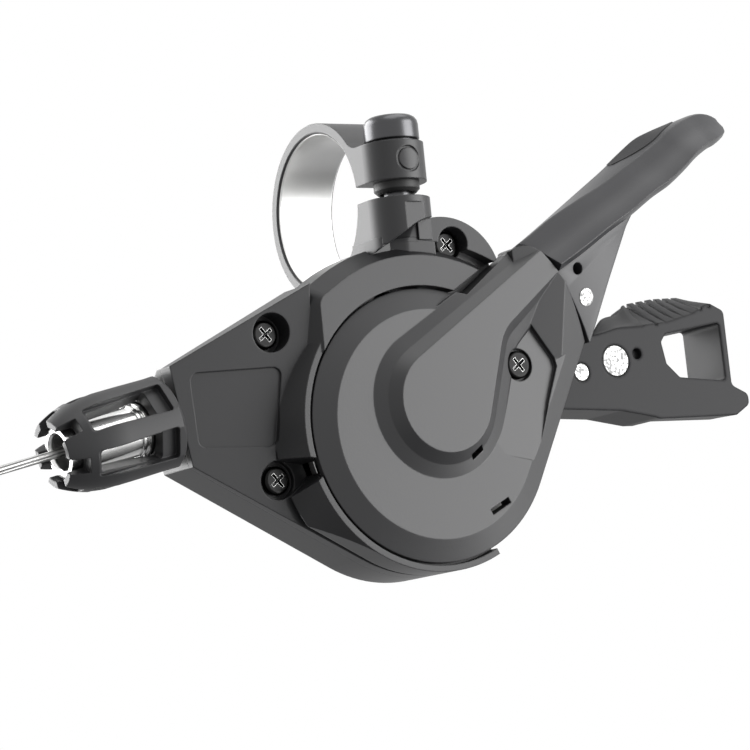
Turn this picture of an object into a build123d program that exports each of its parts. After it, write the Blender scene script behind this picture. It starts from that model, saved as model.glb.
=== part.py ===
from build123d import *
import math
import os

# Right-hand trigger gear shifter for a mountain bike, in millimetres.
# The origin is the centre of the handlebar clamp. +X runs along the handlebar, outboard. +Z runs along the
# clamp bolt, towards its head. -Y is the side of the lever cover. A height is measured from the handlebar's
# axis towards the cover, so a height of 10 lies at Y = -10.

# Mechanism axis, and heights of the layers, each from the one behind it
AXIS_X = 1.5
AXIS_Z = -33.8
BODY_GAP = 0.35
LAYER_GAP = 0.3
FIT_GAP = 0.05
ARM_THICK = 1.2
MAIN_WEB_THICK = 1.3
RELEASE_WEB_THICK = 1.3
BASE_THICK = 1.5
REAR_BACK = 0.5
REAR_FLOOR = 1.5
DRUM_H = REAR_BACK + REAR_FLOOR + 2.0
CABLE_H = DRUM_H + 1.9
DRUM_TOP = CABLE_H + 1.5
SEAM_H = DRUM_TOP + 0.6
RELEASE_ARM_H = SEAM_H + BODY_GAP
BASE_H = RELEASE_ARM_H + ARM_THICK + 0.75
RATCHET_THICK = BASE_H - DRUM_TOP - 0.4
PAWL_THICK = 1.5
PAWL_H = BASE_H - PAWL_THICK - 0.5
MAIN_ARM_H = BASE_H + BASE_THICK + LAYER_GAP
COVER_BACK = MAIN_ARM_H + ARM_THICK + 1.1
ROOF_BACK = COVER_BACK - 0.25
RIM_RISE = 1.0
RIM_H = COVER_BACK + RIM_RISE
FACE_RISE = 1.4
FACE_H = RIM_H + FACE_RISE
RIDGE_RISE = 2.2
RIDGE_H = FACE_H + RIDGE_RISE
PLATEAU_H = FACE_H - 0.9
RIM_BEVEL = 3.2
CASE_WALL = 2.0
ROOM = 150.0

# Handlebar clamp
BAR_R = 11.1
BAND_WALL = 1.7
BAND_WIDTH = 9.6
BAND_EDGE = 0.45
EAR_BOLT_Y = -14.7
EAR_END_UPPER = -14.0
EAR_END_LOWER = -14.3
EAR_GAP_TOP = 1.2
EAR_GAP_BOTTOM = -1.3
EAR_TOP = 6.8
EAR_FILLET = 3.6
EAR_BADGE_R = 1.9
EAR_BADGE_DEPTH = 0.25
LOWER_EAR_BOTTOM = -7.1
LOWER_EAR_LIP = 0.9
EAR_FLAT_DEPTH = 0.25
FOOT_R = 9.0
FOOT_X = 6.3
FOOT_Z = -12.8
FOOT_BACK = BASE_H + BASE_THICK + 0.1
FOOT_THICK = 2.0
FOOT_COUNTERBORE = 1.1
FOOT_SCREW_X = 8.0
FOOT_SCREW_Z = -7.6
BOSS_H = 15.5
BOSS_SLOPE = 0.08
BOSS_LEFT = (-3.2, -8.0)
BOSS_TOP = (2.2, -4.8)
BOSS_FLANK = (0.7, -7.3)
BOSS_FLANK_DROP = 1.9
BOSS_CUT_DIR = (-0.53, -0.84, -0.12)

# Clamp bolt
BOLT_R = 2.5
BOLT_CLEAR = 0.25
BOLT_THREAD_CLEAR = 0.05
BOLT_HEAD_R = 3.95
BOLT_HEAD_H = 3.75
BOLT_HEAD_DOME = 1.6
BOLT_SEAT = 0.3
BOLT_LENGTH = 13.5
BOLT_HEX = 4.0
BOLT_HEX_DEPTH = 2.4
RETAINER_R = 3.3
RETAINER_H = 1.6

# Housing outline in the plane of the cover
CASE_R = 20.9
CASE_INNER_R = CASE_R - CASE_WALL
OPENING_R = CASE_R - 0.9
COVER_R = OPENING_R - 0.4
CRESCENT_R = CASE_R + 5.4
CRESCENT_TIP_ANGLE = 62.5
CRESCENT_END_ANGLE = 124.0
CRESCENT_SIDE_X = -17.2
CRESCENT_CORNER_R = 4.0
CRESCENT_BEVEL_IN = 2.9
CRESCENT_BEVEL_DOWN = 1.9
CRESCENT_NOTCH = (7.0, -14.7)
PLATE_START_ANGLE = 96.0
LIP_R = CASE_R
LIP_FOOT_R = CASE_R + 2.5
LIP_DROP = 4.6
LOWER_END_ANGLE = -64.0
SADDLE_R = 12.4

LEVER_WINDOW_TOP = 64.0
TAPER_START = SEAM_H - 1.0
TAPER_ANGLE = 32.0
PORT_R = 2.9

# Sloping front face of the housing: its height at one point and its slopes
LABEL_X = -17.0
LABEL_Z = -20.0
LABEL_H = SEAM_H + 6.0
LABEL_SLOPE_X = 0.128
LABEL_SLOPE_Z = 0.154
LABEL_RECESS = 0.35
LABEL_OUTLINE = ((-34.3, -25.0), (-20.6, -24.6), (-21.6, -35.6), (-33.0, -35.2))
CASE_SCREWS = ((-22.1, -19.9, SEAM_H + 2.6), (-21.3, -40.2, SEAM_H + 0.8))
CASE_SCREW_STRETCH = (0.0, 4.6)
CASE_SCREW_POCKET_R = 2.75
CASE_SCREW_TIP = 3.0

# Cable line: the cable leaves the drum along a tangent, through the adjuster
CABLE_TILT = 13.0
CABLE_R = 0.6
NOSE_LENGTH = 35.5
NOSE_HALF = 7.1
PORT_ANGLE = -35.0

# Adjuster
KNOB_GAP = 1.0
KNOB_LENGTH = 17.6
KNOB_R = 6.85
KNOB_FLAT = 6.5
KNOB_END_R = 4.75
KNOB_TAPER_START = 8.6
KNOB_BORE_R = 3.85
KNOB_WINDOWS = 6
KNOB_WINDOW_W = 4.6
KNOB_WINDOW_END_W = 3.0
KNOB_WINDOW_START = 3.4
KNOB_WINDOW_END = 13.2
KNOB_NOTCH_W = 2.2
KNOB_NOTCH_DEPTH = 2.6
KNOB_TURN = 30.0
TUBE_R = 3.5
TUBE_SOCKET_R = 2.55
TUBE_SOCKET_DEPTH = 8.0
TUBE_HOLE_R = 1.2
TUBE_INSIDE = 6.0
TUBE_STEP_R = 3.75
TUBE_THREAD_R = 2.9
INSERT_R = 3.6
INSERT_LENGTH = 6.4
ADJUST_TURNS = 3
ADJUST_PITCH = 0.9

# Levers: heights of the steel arms and of the mouldings on them
PLATE_GAP = 0.2

# Main lever: its blade runs along a line from this point at this angle
BLADE_X = 20.0
BLADE_Z = -8.0
BLADE_ANGLE = 33.9
BLADE_THICK = 2.3
BLADE_ROUND = 0.4
# Station along the blade: offsets of its far, ridge and near edges, and their heights
BLADE_STATIONS = (
    (-5.0, 0.1, -1.2, 4.7, 11.6, 16.4, 19.5),
    (0.6, 0.3, -0.2, 5.2, 11.6, 16.6, 20.0),
    (8.0, 0.7, 0.6, 5.6, 11.6, 16.8, 20.3),
    (16.0, 0.7, 1.5, 5.8, 11.5, 16.9, 20.6),
    (24.0, 0.3, 2.0, 5.8, 11.4, 16.8, 20.6),
    (31.0, 0.2, 2.0, 5.9, 11.4, 16.4, 20.0),
    (36.0, 1.1, 1.8, 6.2, 12.0, 16.0, 19.2),
    (39.2, 2.2, 2.7, 6.5, 12.8, 15.7, 18.3),
    (41.3, 3.3, 3.9, 6.1, 13.3, 15.3, 17.0),
)
MAIN_WEB = ((21.3, -8.6), (40.4, 4.2), (41.3, -1.8), (39.9, -4.5), (32.5, -18.1), (31.0, -21.4))
MAIN_HOLE = (30.0, -11.2)
MAIN_RIVET = (30.9, -15.5)
MAIN_ARM_R = 11.5
MAIN_TONGUE = ((6, -24), (20, -12.8), (24.2, -10.8), (33.6, -13.0), (31.6, -19.6), (18.5, -29.5), (8, -44))
MAIN_TRAVEL = 32.0

# Release lever
RELEASE_PIVOT = (AXIS_X + 14.1, AXIS_Z - 5.6)
RELEASE_PIN_R = 1.5
RELEASE_RIVET = (37.9, -24.5)
RELEASE_RIVET_R = 2.35
RELEASE_TONGUE = ((23.0, -27.6), (40.4, -22.2), (40.6, -27.4), (27.4, -29.2), (24.4, -31.2))
RELEASE_SMALL_RIVET = (31.5, -26.1)
RELEASE_HOLE = (41.9, -23.5)
RELEASE_SWING = 9.0
WEB_OUTLINE = ((24.6, -21.5), (34.7, -20.6), (38.6, -19.6), (47.0, -19.2), (47.0, -33.2), (44.7, -33.2),
               (38.1, -32.0), (24.6, -31.4))
WEB_ROOM = ((24.0, -23.0), (36.0, -21.4), (42.4, -20.6), (44.0, -21.4), (43.4, -24.6), (46.0, -29.8), (38.0, -29.8),
            (24.0, -29.8))
SKIRT_START = 27.0
LOOP_BACK_H = 1.5
LOOP_ROUND = 1.0
LOOP_FRONT = ((43.2, -19.2), (48.1, -18.8), (53.1, -17.5), (56.2, -15.9), (58.9, -17.2), (59.0, -28.6), (61.9, -30.0),
              (61.9, -31.6), (59.3, -33.2), (44.9, -33.4), (43.4, -32.9), (43.2, -26.0))
LOOP_BACK = ((44.4, -16.3), (47.8, -14.4), (52.5, -13.7), (57.5, -13.5), (60.5, -15.0), (60.8, -27.6), (64.6, -29.0),
             (64.6, -30.9), (61.5, -32.6), (47.0, -32.6), (45.4, -32.0), (44.4, -26.0))
LOOP_OPENING = ((46.6, -21.8), (47.5, -20.6), (57.9, -18.9), (58.0, -27.9), (49.4, -27.2), (47.2, -25.1))
RIB_COUNT = 7
RIB_START = 46.8
RIB_STEP = 1.7
RIB_W = 0.55
RIB_DEPTH = 0.35
RIB_NEAR = (-18.9, -16.3)
RIB_FAR = (-14.6, -13.4)
RIB_LEAN = -1.5
SMALL_RIVET_R = 1.35
SMALL_HOLE_R = 0.85
RIVET_HEAD = 0.35

# Cover ridge
RIDGE_HOOK_X = 2.2
RIDGE_HOOK_Z = -30.8
RIDGE_HOOK_R = 7.4
RIDGE_FLANK = 3.9
COVER_SCREW = (16.6, -25.6)
COVER_SLOTS = (((7.1, -38.2), 2.3, 37), ((10.8, -45.9), 3.6, 27))
COVER_CORNER = (16.3, -9.5)
COVER_CORNER_ANGLE = 69.5
RIDGE_BEND = (12.9, -20.9)
RIDGE_END = 3.0
GROOVE_W_LEVER = 0.45
GROOVE_LEFT = (16.4, -9.1)
GROOVE_CROWN = (18.9, -8.6)
GROOVE_TURN = (21.4, -10.0)
GROOVE_MIDDLE = (25.7, -15.4)
GROOVE_END = (29.4, -22.2)
SHOULDER_CORNER = (22.9, -25.0)
SHOULDER_APEX = (17.5, -17.4)
TURN_RISE = 2.1
APEX_RISE = 0.1
HOLLOW = ((14.8, -19.5), (17.9, -17.3), (20.3, -20.5), (22.6, -24.2), (23.0, -26.0), (21.0, -31.0), (19.1, -36.8),
          (17.5, -39.6), (12.0, -38.5), (10.1, -35.1), (11.5, -30.8), (12.6, -26.5), (13.5, -22.9))
HOLLOW_DEPTH = 0.7
SCREW_R = 1.25
SCREW_HEAD_R = 2.05
SCREW_HEAD_H = 1.1

# Mechanism
BASE_R = CASE_INNER_R - 0.5
BASE_TAB = ((3.0, -20.0), (5.5, -12.0), (5.5, -4.9), (12.0, -4.9), (15.4, -8.4), (15.4, -20.0))
AXLE_R = 3.0
BUSH_R = 4.0
NUT_FLATS = 8.0
NUT_H = 1.8
DRUM_R = CASE_INNER_R - 6.3
CABLE_PITCH_R = DRUM_R - 1.4
NIPPLE_R = 2.2
NIPPLE_ANGLE = 40.0
GROOVE_W = 1.8
RATCHET_R = DRUM_R - 3.0
RATCHET_ROOT_R = RATCHET_R - 1.4
RATCHET_TEETH = 18
PAWL_PIN_R = 1.2
HOLD_PIN = (AXIS_X - 13.4, AXIS_Z - 4.6)
DRIVE_PIN_R_FROM_AXIS = 13.6
DRIVE_PIN_ANGLE = 138.0
SPRING_WIRE = 0.8

# Put-away cable
COIL_R = 10.8
COIL_SECTION = 4.0
COIL_X = -82.0
TIE_W = 3.0
TIE_WALL = 0.7


def at_height(height, x=0.0, z=0.0):
    """A plane parallel to the cover, whose normal points to the cover's side."""
    return Plane(origin=(x, -height, z), x_dir=(1, 0, 0), z_dir=(0, -1, 0))


def slab(face, low, high):
    """A flat outline raised from one height to another."""
    return extrude(at_height(low) * face, amount=high - low, dir=(0, -1, 0))


def post(x, z, radius, low, high):
    """A round pin, or the tool for a round hole, across the layers."""
    return extrude(at_height(low, x, z) * Circle(radius), amount=high - low)


def polygon(points, radius=0.0):
    """A closed outline through the points, with every corner rounded alike."""
    face = make_face(Polyline(*points, close=True))
    if radius:
        face = fillet(face.vertices(), radius)
    return face


def above(first, second, third):
    """Room above the plane through three points, each given by its x, z and height."""
    corners = [Vector(point[0], -point[2], point[1]) for point in (first, second, third)]
    along = corners[1] - corners[0]
    normal = along.cross(corners[2] - corners[0])
    if normal.Y > 0:
        normal = normal * -1
    plane = Plane(origin=corners[0], x_dir=along, z_dir=normal)
    return plane * Box(ROOM, ROOM, ROOM, align=(Align.CENTER, Align.CENTER, Align.MIN))


def polar(radius, angle, x=AXIS_X, z=AXIS_Z):
    """A point at a distance and an angle from the mechanism's axis."""
    turn = math.radians(angle)
    return (x + radius * math.cos(turn), z + radius * math.sin(turn))


def sector(radius, start, end):
    """A filled sector about the mechanism's axis, anticlockwise from start to end."""
    first = polar(radius, start)
    middle = polar(radius, (start + end) / 2)
    last = polar(radius, end)
    rim = ThreePointArc(first, middle, last)
    return make_face([rim, Line(last, (AXIS_X, AXIS_Z)), Line((AXIS_X, AXIS_Z), first)])


def disc(radius):
    return Pos(AXIS_X, AXIS_Z) * Circle(radius)


def cross_recess(x, z, top, reach=1.15, depth=0.8, arm=0.42):
    """The four-armed slot of a cross-head screw."""
    flat = Rectangle(2 * reach, arm) + Rectangle(arm, 2 * reach)
    return extrude(at_height(top - depth, x, z) * (Rot(0, 0, 38) * flat), amount=depth + 1)


def cross_screw(x, z, head_bottom, tip):
    """A pan-head screw seen from the cover's side."""
    head = post(x, z, SCREW_HEAD_R, head_bottom, head_bottom + SCREW_HEAD_H)
    rim = head.edges().group_by(Axis.Y)[0]
    head = fillet(rim, 0.5)
    shank = post(x, z, SCREW_R, tip, head_bottom)
    return head + shank - cross_recess(x, z, head_bottom + SCREW_HEAD_H)


def cable_tangent():
    """The point where the cable leaves the drum."""
    return polar(CABLE_PITCH_R, 90 + CABLE_TILT)


def along_cable(distance):
    """A point on the cable's line, this far out from the drum."""
    start_x, start_z = cable_tangent()
    tilt = math.radians(CABLE_TILT)
    return (start_x - distance * math.cos(tilt), start_z - distance * math.sin(tilt))


def adjuster_plane(distance=0.0):
    """A plane across the adjuster, measured outwards from the end of the housing's nose."""
    x, z = along_cable(NOSE_LENGTH + distance)
    tilt = math.radians(CABLE_TILT)
    out = (-math.cos(tilt), 0, -math.sin(tilt))
    return Plane(origin=(x, -CABLE_H, z), x_dir=(0, 1, 0), z_dir=out)


def label_height(x, z):
    return LABEL_H + LABEL_SLOPE_X * (x - LABEL_X) + LABEL_SLOPE_Z * (z - LABEL_Z)


def label_plane(drop=0.0):
    """The plane of the sloping front face, with its normal away from the housing."""
    origin = (LABEL_X, -(LABEL_H - drop), LABEL_Z)
    normal = Vector(-LABEL_SLOPE_X, -1, -LABEL_SLOPE_Z)
    return Plane(origin=origin, x_dir=(1, -LABEL_SLOPE_X, 0), z_dir=normal)


# Clamp


def ear_plan(end_y):
    """An ear from above: straight sides and a round end."""
    depth = -end_y + BAR_R + BAND_WALL + 1
    body = Pos(0, end_y + depth / 2) * Rectangle(BAND_WIDTH, depth)
    return body + Pos(0, end_y) * Circle(BAND_WIDTH / 2)


def clamp_band():
    """Band, both ears and the foot, cast in one piece."""
    body = band_and_ears()
    body -= extrude(at_height(BOSS_H) * boss_outline(), amount=FACE_H, dir=BOSS_CUT_DIR)
    body += clamp_foot()
    body -= Cylinder(BAR_R, 3 * BAND_WIDTH, rotation=(0, 90, 0))
    up = (Align.CENTER, Align.CENTER, Align.MIN)
    down = (Align.CENTER, Align.CENTER, Align.MAX)
    bolt_hole = Pos(0, EAR_BOLT_Y, EAR_GAP_TOP) * Cylinder(BOLT_R + BOLT_CLEAR, EAR_TOP, align=up)
    thread_hole = Pos(0, EAR_BOLT_Y, EAR_GAP_BOTTOM) * Cylinder(BOLT_R + BOLT_THREAD_CLEAR, ROOM, align=down)
    spot_face = Pos(0, EAR_BOLT_Y, EAR_TOP) * Cylinder(BOLT_HEAD_R + BODY_GAP, ROOM, align=up)
    body = body - bolt_hole - thread_hole - spot_face
    front = Plane(origin=(0, EAR_END_UPPER - BAND_WIDTH / 2, 0), x_dir=(1, 0, 0), z_dir=(0, -1, 0))
    ring_mark = Circle(EAR_BADGE_R) - Circle(EAR_BADGE_R - 0.35)
    mark_z = (EAR_GAP_TOP + EAR_TOP) / 2
    body -= extrude(front.offset(-EAR_BADGE_DEPTH * 1.6) * (Pos(0, mark_z) * ring_mark), amount=3)
    return biggest(body)


def band_and_ears():
    """The band round the handlebar and the two ears, with their round ends."""
    outer_r = BAR_R + BAND_WALL
    across = -EAR_BOLT_Y + BAND_WIDTH
    upper = Pos(-across / 2, EAR_TOP / 2) * Rectangle(across, EAR_TOP)
    lower = Pos(-across / 2, LOWER_EAR_BOTTOM / 2) * Rectangle(across, -LOWER_EAR_BOTTOM)
    lip_start = PLATEAU_H + BODY_GAP
    lip_depth = across - lip_start
    lip_z = LOWER_EAR_BOTTOM - LOWER_EAR_LIP / 2 + 0.1
    ear_lip = Pos(-lip_start - lip_depth / 2, lip_z) * Rectangle(lip_depth, LOWER_EAR_LIP + 0.2)
    side = Circle(outer_r) + upper + lower + ear_lip
    shoulder = (-math.sqrt(outer_r**2 - EAR_TOP**2), EAR_TOP)
    corner = side.vertices().sort_by_distance(Vector(shoulder[0], shoulder[1], 0))[0]
    side = fillet(corner, EAR_FILLET)
    side -= Circle(BAR_R)
    gap_h = EAR_GAP_TOP - EAR_GAP_BOTTOM
    gap_z = (EAR_GAP_TOP + EAR_GAP_BOTTOM) / 2
    side -= Pos(-across / 2, gap_z) * Rectangle(across, gap_h)
    body = extrude(Plane.YZ.offset(-BAND_WIDTH / 2) * side, amount=BAND_WIDTH)
    above_gap = extrude(Plane.XY.offset(gap_z) * ear_plan(EAR_END_UPPER), amount=2 * outer_r)
    below_gap = extrude(Plane.XY.offset(gap_z) * ear_plan(EAR_END_LOWER), amount=-2 * outer_r)
    body = body & (above_gap + below_gap)
    chamfer_tool = Cone(BAR_R + BAND_EDGE, BAR_R, BAND_EDGE, align=(Align.CENTER, Align.CENTER, Align.MIN))
    body -= Plane(origin=(-BAND_WIDTH / 2, 0, 0), x_dir=(0, 1, 0), z_dir=(1, 0, 0)) * chamfer_tool
    body -= Plane(origin=(BAND_WIDTH / 2, 0, 0), x_dir=(0, 1, 0), z_dir=(-1, 0, 0)) * chamfer_tool
    flat_y = EAR_END_LOWER - BAND_WIDTH / 2 + EAR_FLAT_DEPTH
    flat_h = -LOWER_EAR_BOTTOM + EAR_GAP_BOTTOM - 1.4
    flat = Pos(0, flat_y, EAR_GAP_BOTTOM - 1.0) * Box(
        BAND_WIDTH, 4, flat_h, align=(Align.CENTER, Align.MAX, Align.MAX)
    )
    return body - flat


def boss_outline():
    """Outline of the round foot and its slanting left flank."""
    flank = make_face(Polyline(BOSS_LEFT, BOSS_TOP, (FOOT_X, FOOT_Z), (BOSS_LEFT[0], FOOT_Z), close=True))
    keep = Pos(FOOT_X, FOOT_Z + FOOT_R) * Rectangle(4 * FOOT_R, 2 * FOOT_R)
    return (Pos(FOOT_X, FOOT_Z) * Circle(FOOT_R) + flank) & keep


def clamp_foot():
    """The round foot beside the lower ear: a flat part under the crescent and a raised boss above it."""
    high = FOOT_BACK + FOOT_THICK
    bridge = polygon(
        ((0, BOSS_TOP[1] + 1), (FOOT_X, FOOT_Z + FOOT_R), (FOOT_X, FOOT_Z), (0, LOWER_EAR_BOTTOM + 0.2))
    )
    flat = slab(Pos(FOOT_X, FOOT_Z) * Circle(FOOT_R) + bridge, FOOT_BACK, high)
    beside = disc(CRESCENT_R + BODY_GAP) + offset(arm_outline(), BODY_GAP)
    boss = slab(boss_outline() - beside, high - 0.5, BOSS_H + 1)
    left = FOOT_X - FOOT_R
    rise = BOSS_SLOPE * FOOT_R
    boss -= above(
        (left, FOOT_Z, BOSS_H - rise), (left + 2 * FOOT_R, FOOT_Z, BOSS_H + rise), (left, FOOT_Z + 1, BOSS_H - rise)
    )
    top = BOSS_H + BOSS_SLOPE * (BOSS_TOP[0] - FOOT_X)
    low = BOSS_H + BOSS_SLOPE * (BOSS_FLANK[0] - FOOT_X)
    boss -= above(
        (BOSS_TOP[0], BOSS_TOP[1], top),
        (BOSS_FLANK[0], BOSS_FLANK[1], low),
        (BOSS_LEFT[0], BOSS_LEFT[1], low - BOSS_FLANK_DROP),
    )
    foot = flat + boss
    keep = slab(Pos(FOOT_X, FOOT_Z + 6) * Rectangle(4 * FOOT_R, 2 * FOOT_R + 1), 0, ROOM)
    foot = foot & keep
    foot -= post(FOOT_SCREW_X, FOOT_SCREW_Z, SCREW_R + 0.1, FOOT_BACK - 1, ROOM)
    foot -= post(FOOT_SCREW_X, FOOT_SCREW_Z, SCREW_HEAD_R + 0.3, high - FOOT_COUNTERBORE, ROOM)
    return foot


def clamp_bolt():
    """Round-headed bolt with a hexagon socket, screwed into the lower ear."""
    seat = EAR_TOP + BOLT_SEAT
    low = (Align.CENTER, Align.CENTER, Align.MIN)
    head = Pos(0, 0, seat) * Cylinder(BOLT_HEAD_R, BOLT_HEAD_H, align=low)
    head = fillet(head.edges().sort_by(Axis.Z)[-1], BOLT_HEAD_DOME)
    collar = Pos(0, 0, EAR_TOP) * Cylinder(BOLT_HEAD_R - 0.45, BOLT_SEAT, align=low)
    shank = Pos(0, 0, seat - BOLT_LENGTH) * Cylinder(BOLT_R, BOLT_LENGTH, align=low)
    socket = extrude(
        Plane.XY.offset(seat + BOLT_HEAD_H - BOLT_HEX_DEPTH) * RegularPolygon(BOLT_HEX / math.sqrt(3), 6),
        amount=BOLT_HEX_DEPTH + 1,
    )
    return Pos(0, EAR_BOLT_Y, 0) * (head + collar + shank - socket)


def bolt_retainer():
    """Ring that keeps the bolt in the upper ear when the clamp is open."""
    body = Cylinder(RETAINER_R, RETAINER_H, align=(Align.CENTER, Align.CENTER, Align.MAX))
    body = chamfer(body.edges().sort_by(Axis.Z)[0], 0.5)
    body -= Cylinder(BOLT_R + FIT_GAP, 10)
    return Pos(0, EAR_BOLT_Y, EAR_GAP_TOP) * body


def bracket_screw():
    return cross_screw(
        FOOT_SCREW_X, FOOT_SCREW_Z, FOOT_BACK + FOOT_THICK - FOOT_COUNTERBORE, BASE_H - 0.2
    )


# Housing


def nose_corners():
    """The two corners of the housing's cable end."""
    x, z = along_cable(NOSE_LENGTH)
    tilt = math.radians(CABLE_TILT)
    upper = (x - NOSE_HALF * math.sin(tilt), z + NOSE_HALF * math.cos(tilt))
    lower = (x + NOSE_HALF * math.sin(tilt), z - NOSE_HALF * math.cos(tilt))
    return upper, lower


def tangent_angle(point, radius, side):
    """The angle on a circle about the mechanism's axis where a line from the point touches it."""
    dx = point[0] - AXIS_X
    dz = point[1] - AXIS_Z
    bearing = math.degrees(math.atan2(dz, dx))
    swing = math.degrees(math.acos(radius / math.hypot(dx, dz)))
    return bearing + side * swing


def case_outline(top_radius, start_angle):
    """Outline of both housing halves: nose, upper wall, arc over the drum, lower arc, lower wall."""
    upper, lower = nose_corners()
    upper_touch = tangent_angle(upper, top_radius, -1)
    lower_touch = tangent_angle(lower, CASE_R, 1)
    top_start = polar(top_radius, start_angle)
    top_middle = polar(top_radius, (start_angle + upper_touch) / 2)
    top_end = polar(top_radius, upper_touch)
    low_start = polar(CASE_R, lower_touch)
    low_middle = polar(CASE_R, (lower_touch + LOWER_END_ANGLE) / 2)
    low_end = polar(CASE_R, LOWER_END_ANGLE)
    return make_face(
        [
            ThreePointArc(top_start, top_middle, top_end),
            Line(top_end, upper),
            Line(upper, lower),
            Line(lower, low_start),
            ThreePointArc(low_start, low_middle, low_end),
            Line(low_end, (AXIS_X, AXIS_Z)),
            Line((AXIS_X, AXIS_Z), top_start),
        ]
    )


def crescent_outline():
    """Outline of the raised crescent beside the cover."""
    tip = polar(CRESCENT_R, CRESCENT_TIP_ANGLE)
    end = polar(CRESCENT_R, CRESCENT_END_ANGLE)
    middle = polar(CRESCENT_R, (CRESCENT_TIP_ANGLE + CRESCENT_END_ANGLE) / 2)
    side_top = (CRESCENT_SIDE_X, end[1] - 2.6)
    side_low = (CRESCENT_SIDE_X, AXIS_Z)
    notch = CRESCENT_NOTCH
    face = make_face(
        [
            ThreePointArc(tip, middle, end),
            Line(end, side_top),
            Line(side_top, side_low),
            Line(side_low, (AXIS_X, AXIS_Z)),
            Line((AXIS_X, AXIS_Z), notch),
            Line(notch, tip),
        ]
    )
    for point, radius in ((side_top, CRESCENT_CORNER_R), (end, CRESCENT_CORNER_R)):
        corner = face.vertices().sort_by_distance(Vector(point[0], point[1], 0))[0]
        face = fillet(corner, radius)
    return face


def crescent():
    """Raised crescent with its broad bevel."""
    body = slab(crescent_outline(), SEAM_H, PLATEAU_H)
    top = body.faces().sort_by(Axis.Y)[0]
    tip = polar(CRESCENT_R, CRESCENT_TIP_ANGLE)
    end = Vector((tip[0] + CRESCENT_NOTCH[0]) / 2, -PLATEAU_H, (tip[1] + CRESCENT_NOTCH[1]) / 2)
    outer = [e for e in top.edges() if edge_reach(e) > OPENING_R + 0.5 and (e @ 0.5 - end).length > 0.5]
    return chamfer(outer, CRESCENT_BEVEL_DOWN, CRESCENT_BEVEL_IN, reference=top)


def edge_reach(edge):
    """How far an edge's midpoint lies from the mechanism's axis."""
    middle = edge @ 0.5
    return math.hypot(middle.X - AXIS_X, middle.Z - AXIS_Z)


def lip():
    """The lip round the cover, falling away in a cone to the housing's face."""
    low = PLATEAU_H - 0.35 - LIP_DROP
    cone = Cone(LIP_FOOT_R, LIP_R, LIP_DROP, align=(Align.CENTER, Align.CENTER, Align.MIN))
    return at_height(low, AXIS_X, AXIS_Z) * cone


def case_bores(body):
    """The opening for the cover, the room inside and the cable's way out."""
    body -= post(AXIS_X, AXIS_Z, OPENING_R, COVER_BACK - BODY_GAP, RIDGE_H + 3)
    body -= post(AXIS_X, AXIS_Z, CASE_INNER_R, REAR_BACK + REAR_FLOOR, COVER_BACK)
    body -= nose_bore()
    return body


def nose_bore():
    """Insert seat and cable passage, drawn along the cable's line."""
    seat = adjuster_plane(-INSERT_LENGTH) * Cylinder(
        INSERT_R + FIT_GAP, INSERT_LENGTH + 2, align=(Align.CENTER, Align.CENTER, Align.MIN)
    )
    way = adjuster_plane(-NOSE_LENGTH + 6) * Cylinder(
        1.6, NOSE_LENGTH, align=(Align.CENTER, Align.CENTER, Align.MIN)
    )
    return seat + way


def foot_pocket():
    """Room for the clamp's foot and the base plate's tab in the top of the housing."""
    margin = BODY_GAP
    wide = Pos(FOOT_X, FOOT_Z) * Rectangle(2 * FOOT_R + 5, 2 * FOOT_R + 6)
    under = slab(Pos(FOOT_X, FOOT_Z + FOOT_R) * Rectangle(2 * FOOT_R + 5, 2 * FOOT_R), 0, BASE_H)
    ear = Pos(0, LOWER_EAR_BOTTOM - margin + BAND_WIDTH) * Rectangle(BAND_WIDTH + 2 * margin, 2 * BAND_WIDTH)
    return slab(wide, BASE_H - margin, ROOF_BACK) + under + slab(ear, 0, ROOM)


def screw_pocket(x, z, floor, stretch):
    """A round pocket for a case screw, drawn out into a teardrop towards the cover."""
    top = RIDGE_H + 2
    pocket = post(x, z, CASE_SCREW_POCKET_R, floor, top)
    if stretch:
        toward = math.atan2(AXIS_Z - z, AXIS_X - x)
        tip = (x + stretch * math.cos(toward), z + stretch * math.sin(toward))
        drop = make_hull(
            (Pos(x, z) * Circle(CASE_SCREW_POCKET_R)).edges() + (Pos(tip[0], tip[1]) * Circle(0.9)).edges()
        )
        pocket += slab(drop, floor + 0.9, top)
    return pocket


def front_case():
    """Front housing: sloping face, crescent, lip round the cover and half of the nose."""
    plate = slab(case_outline(CRESCENT_R, PLATE_START_ANGLE), SEAM_H, RIDGE_H)
    beside = Pos(CRESCENT_SIDE_X + 1 + ROOM / 2, AXIS_Z + ROOM / 2) * Rectangle(ROOM, ROOM)
    plate -= slab(beside, 0, ROOM)
    plate -= label_plane() * Box(ROOM, ROOM, ROOM, align=(Align.CENTER, Align.CENTER, Align.MIN))
    bounds = slab(case_outline(CRESCENT_R, CRESCENT_TIP_ANGLE), SEAM_H, PLATEAU_H + 1)
    lip_bounds = slab(case_outline(CRESCENT_R, PLATE_START_ANGLE), SEAM_H, PLATEAU_H + 1)
    body = plate + (crescent() & bounds) + (lip() & lip_bounds)
    body = case_bores(body)
    body -= foot_pocket()
    recess = polygon(LABEL_OUTLINE, 1.2)
    recess_tool = slab(recess, 0, ROOM) & (
        label_plane(LABEL_RECESS) * Box(ROOM, ROOM, ROOM, align=(Align.CENTER, Align.CENTER, Align.MIN))
    )
    body -= recess_tool
    for (x, z, floor), stretch in zip(CASE_SCREWS, CASE_SCREW_STRETCH):
        body -= screw_pocket(x, z, floor, stretch)
        body -= post(x, z, SCREW_R + 0.1, 0, 20)
    pivot_room = post(RELEASE_PIVOT[0], RELEASE_PIVOT[1], RELEASE_PIN_R + 3.2, SEAM_H - 1, COVER_BACK)
    return biggest(body - pivot_room)


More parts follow.
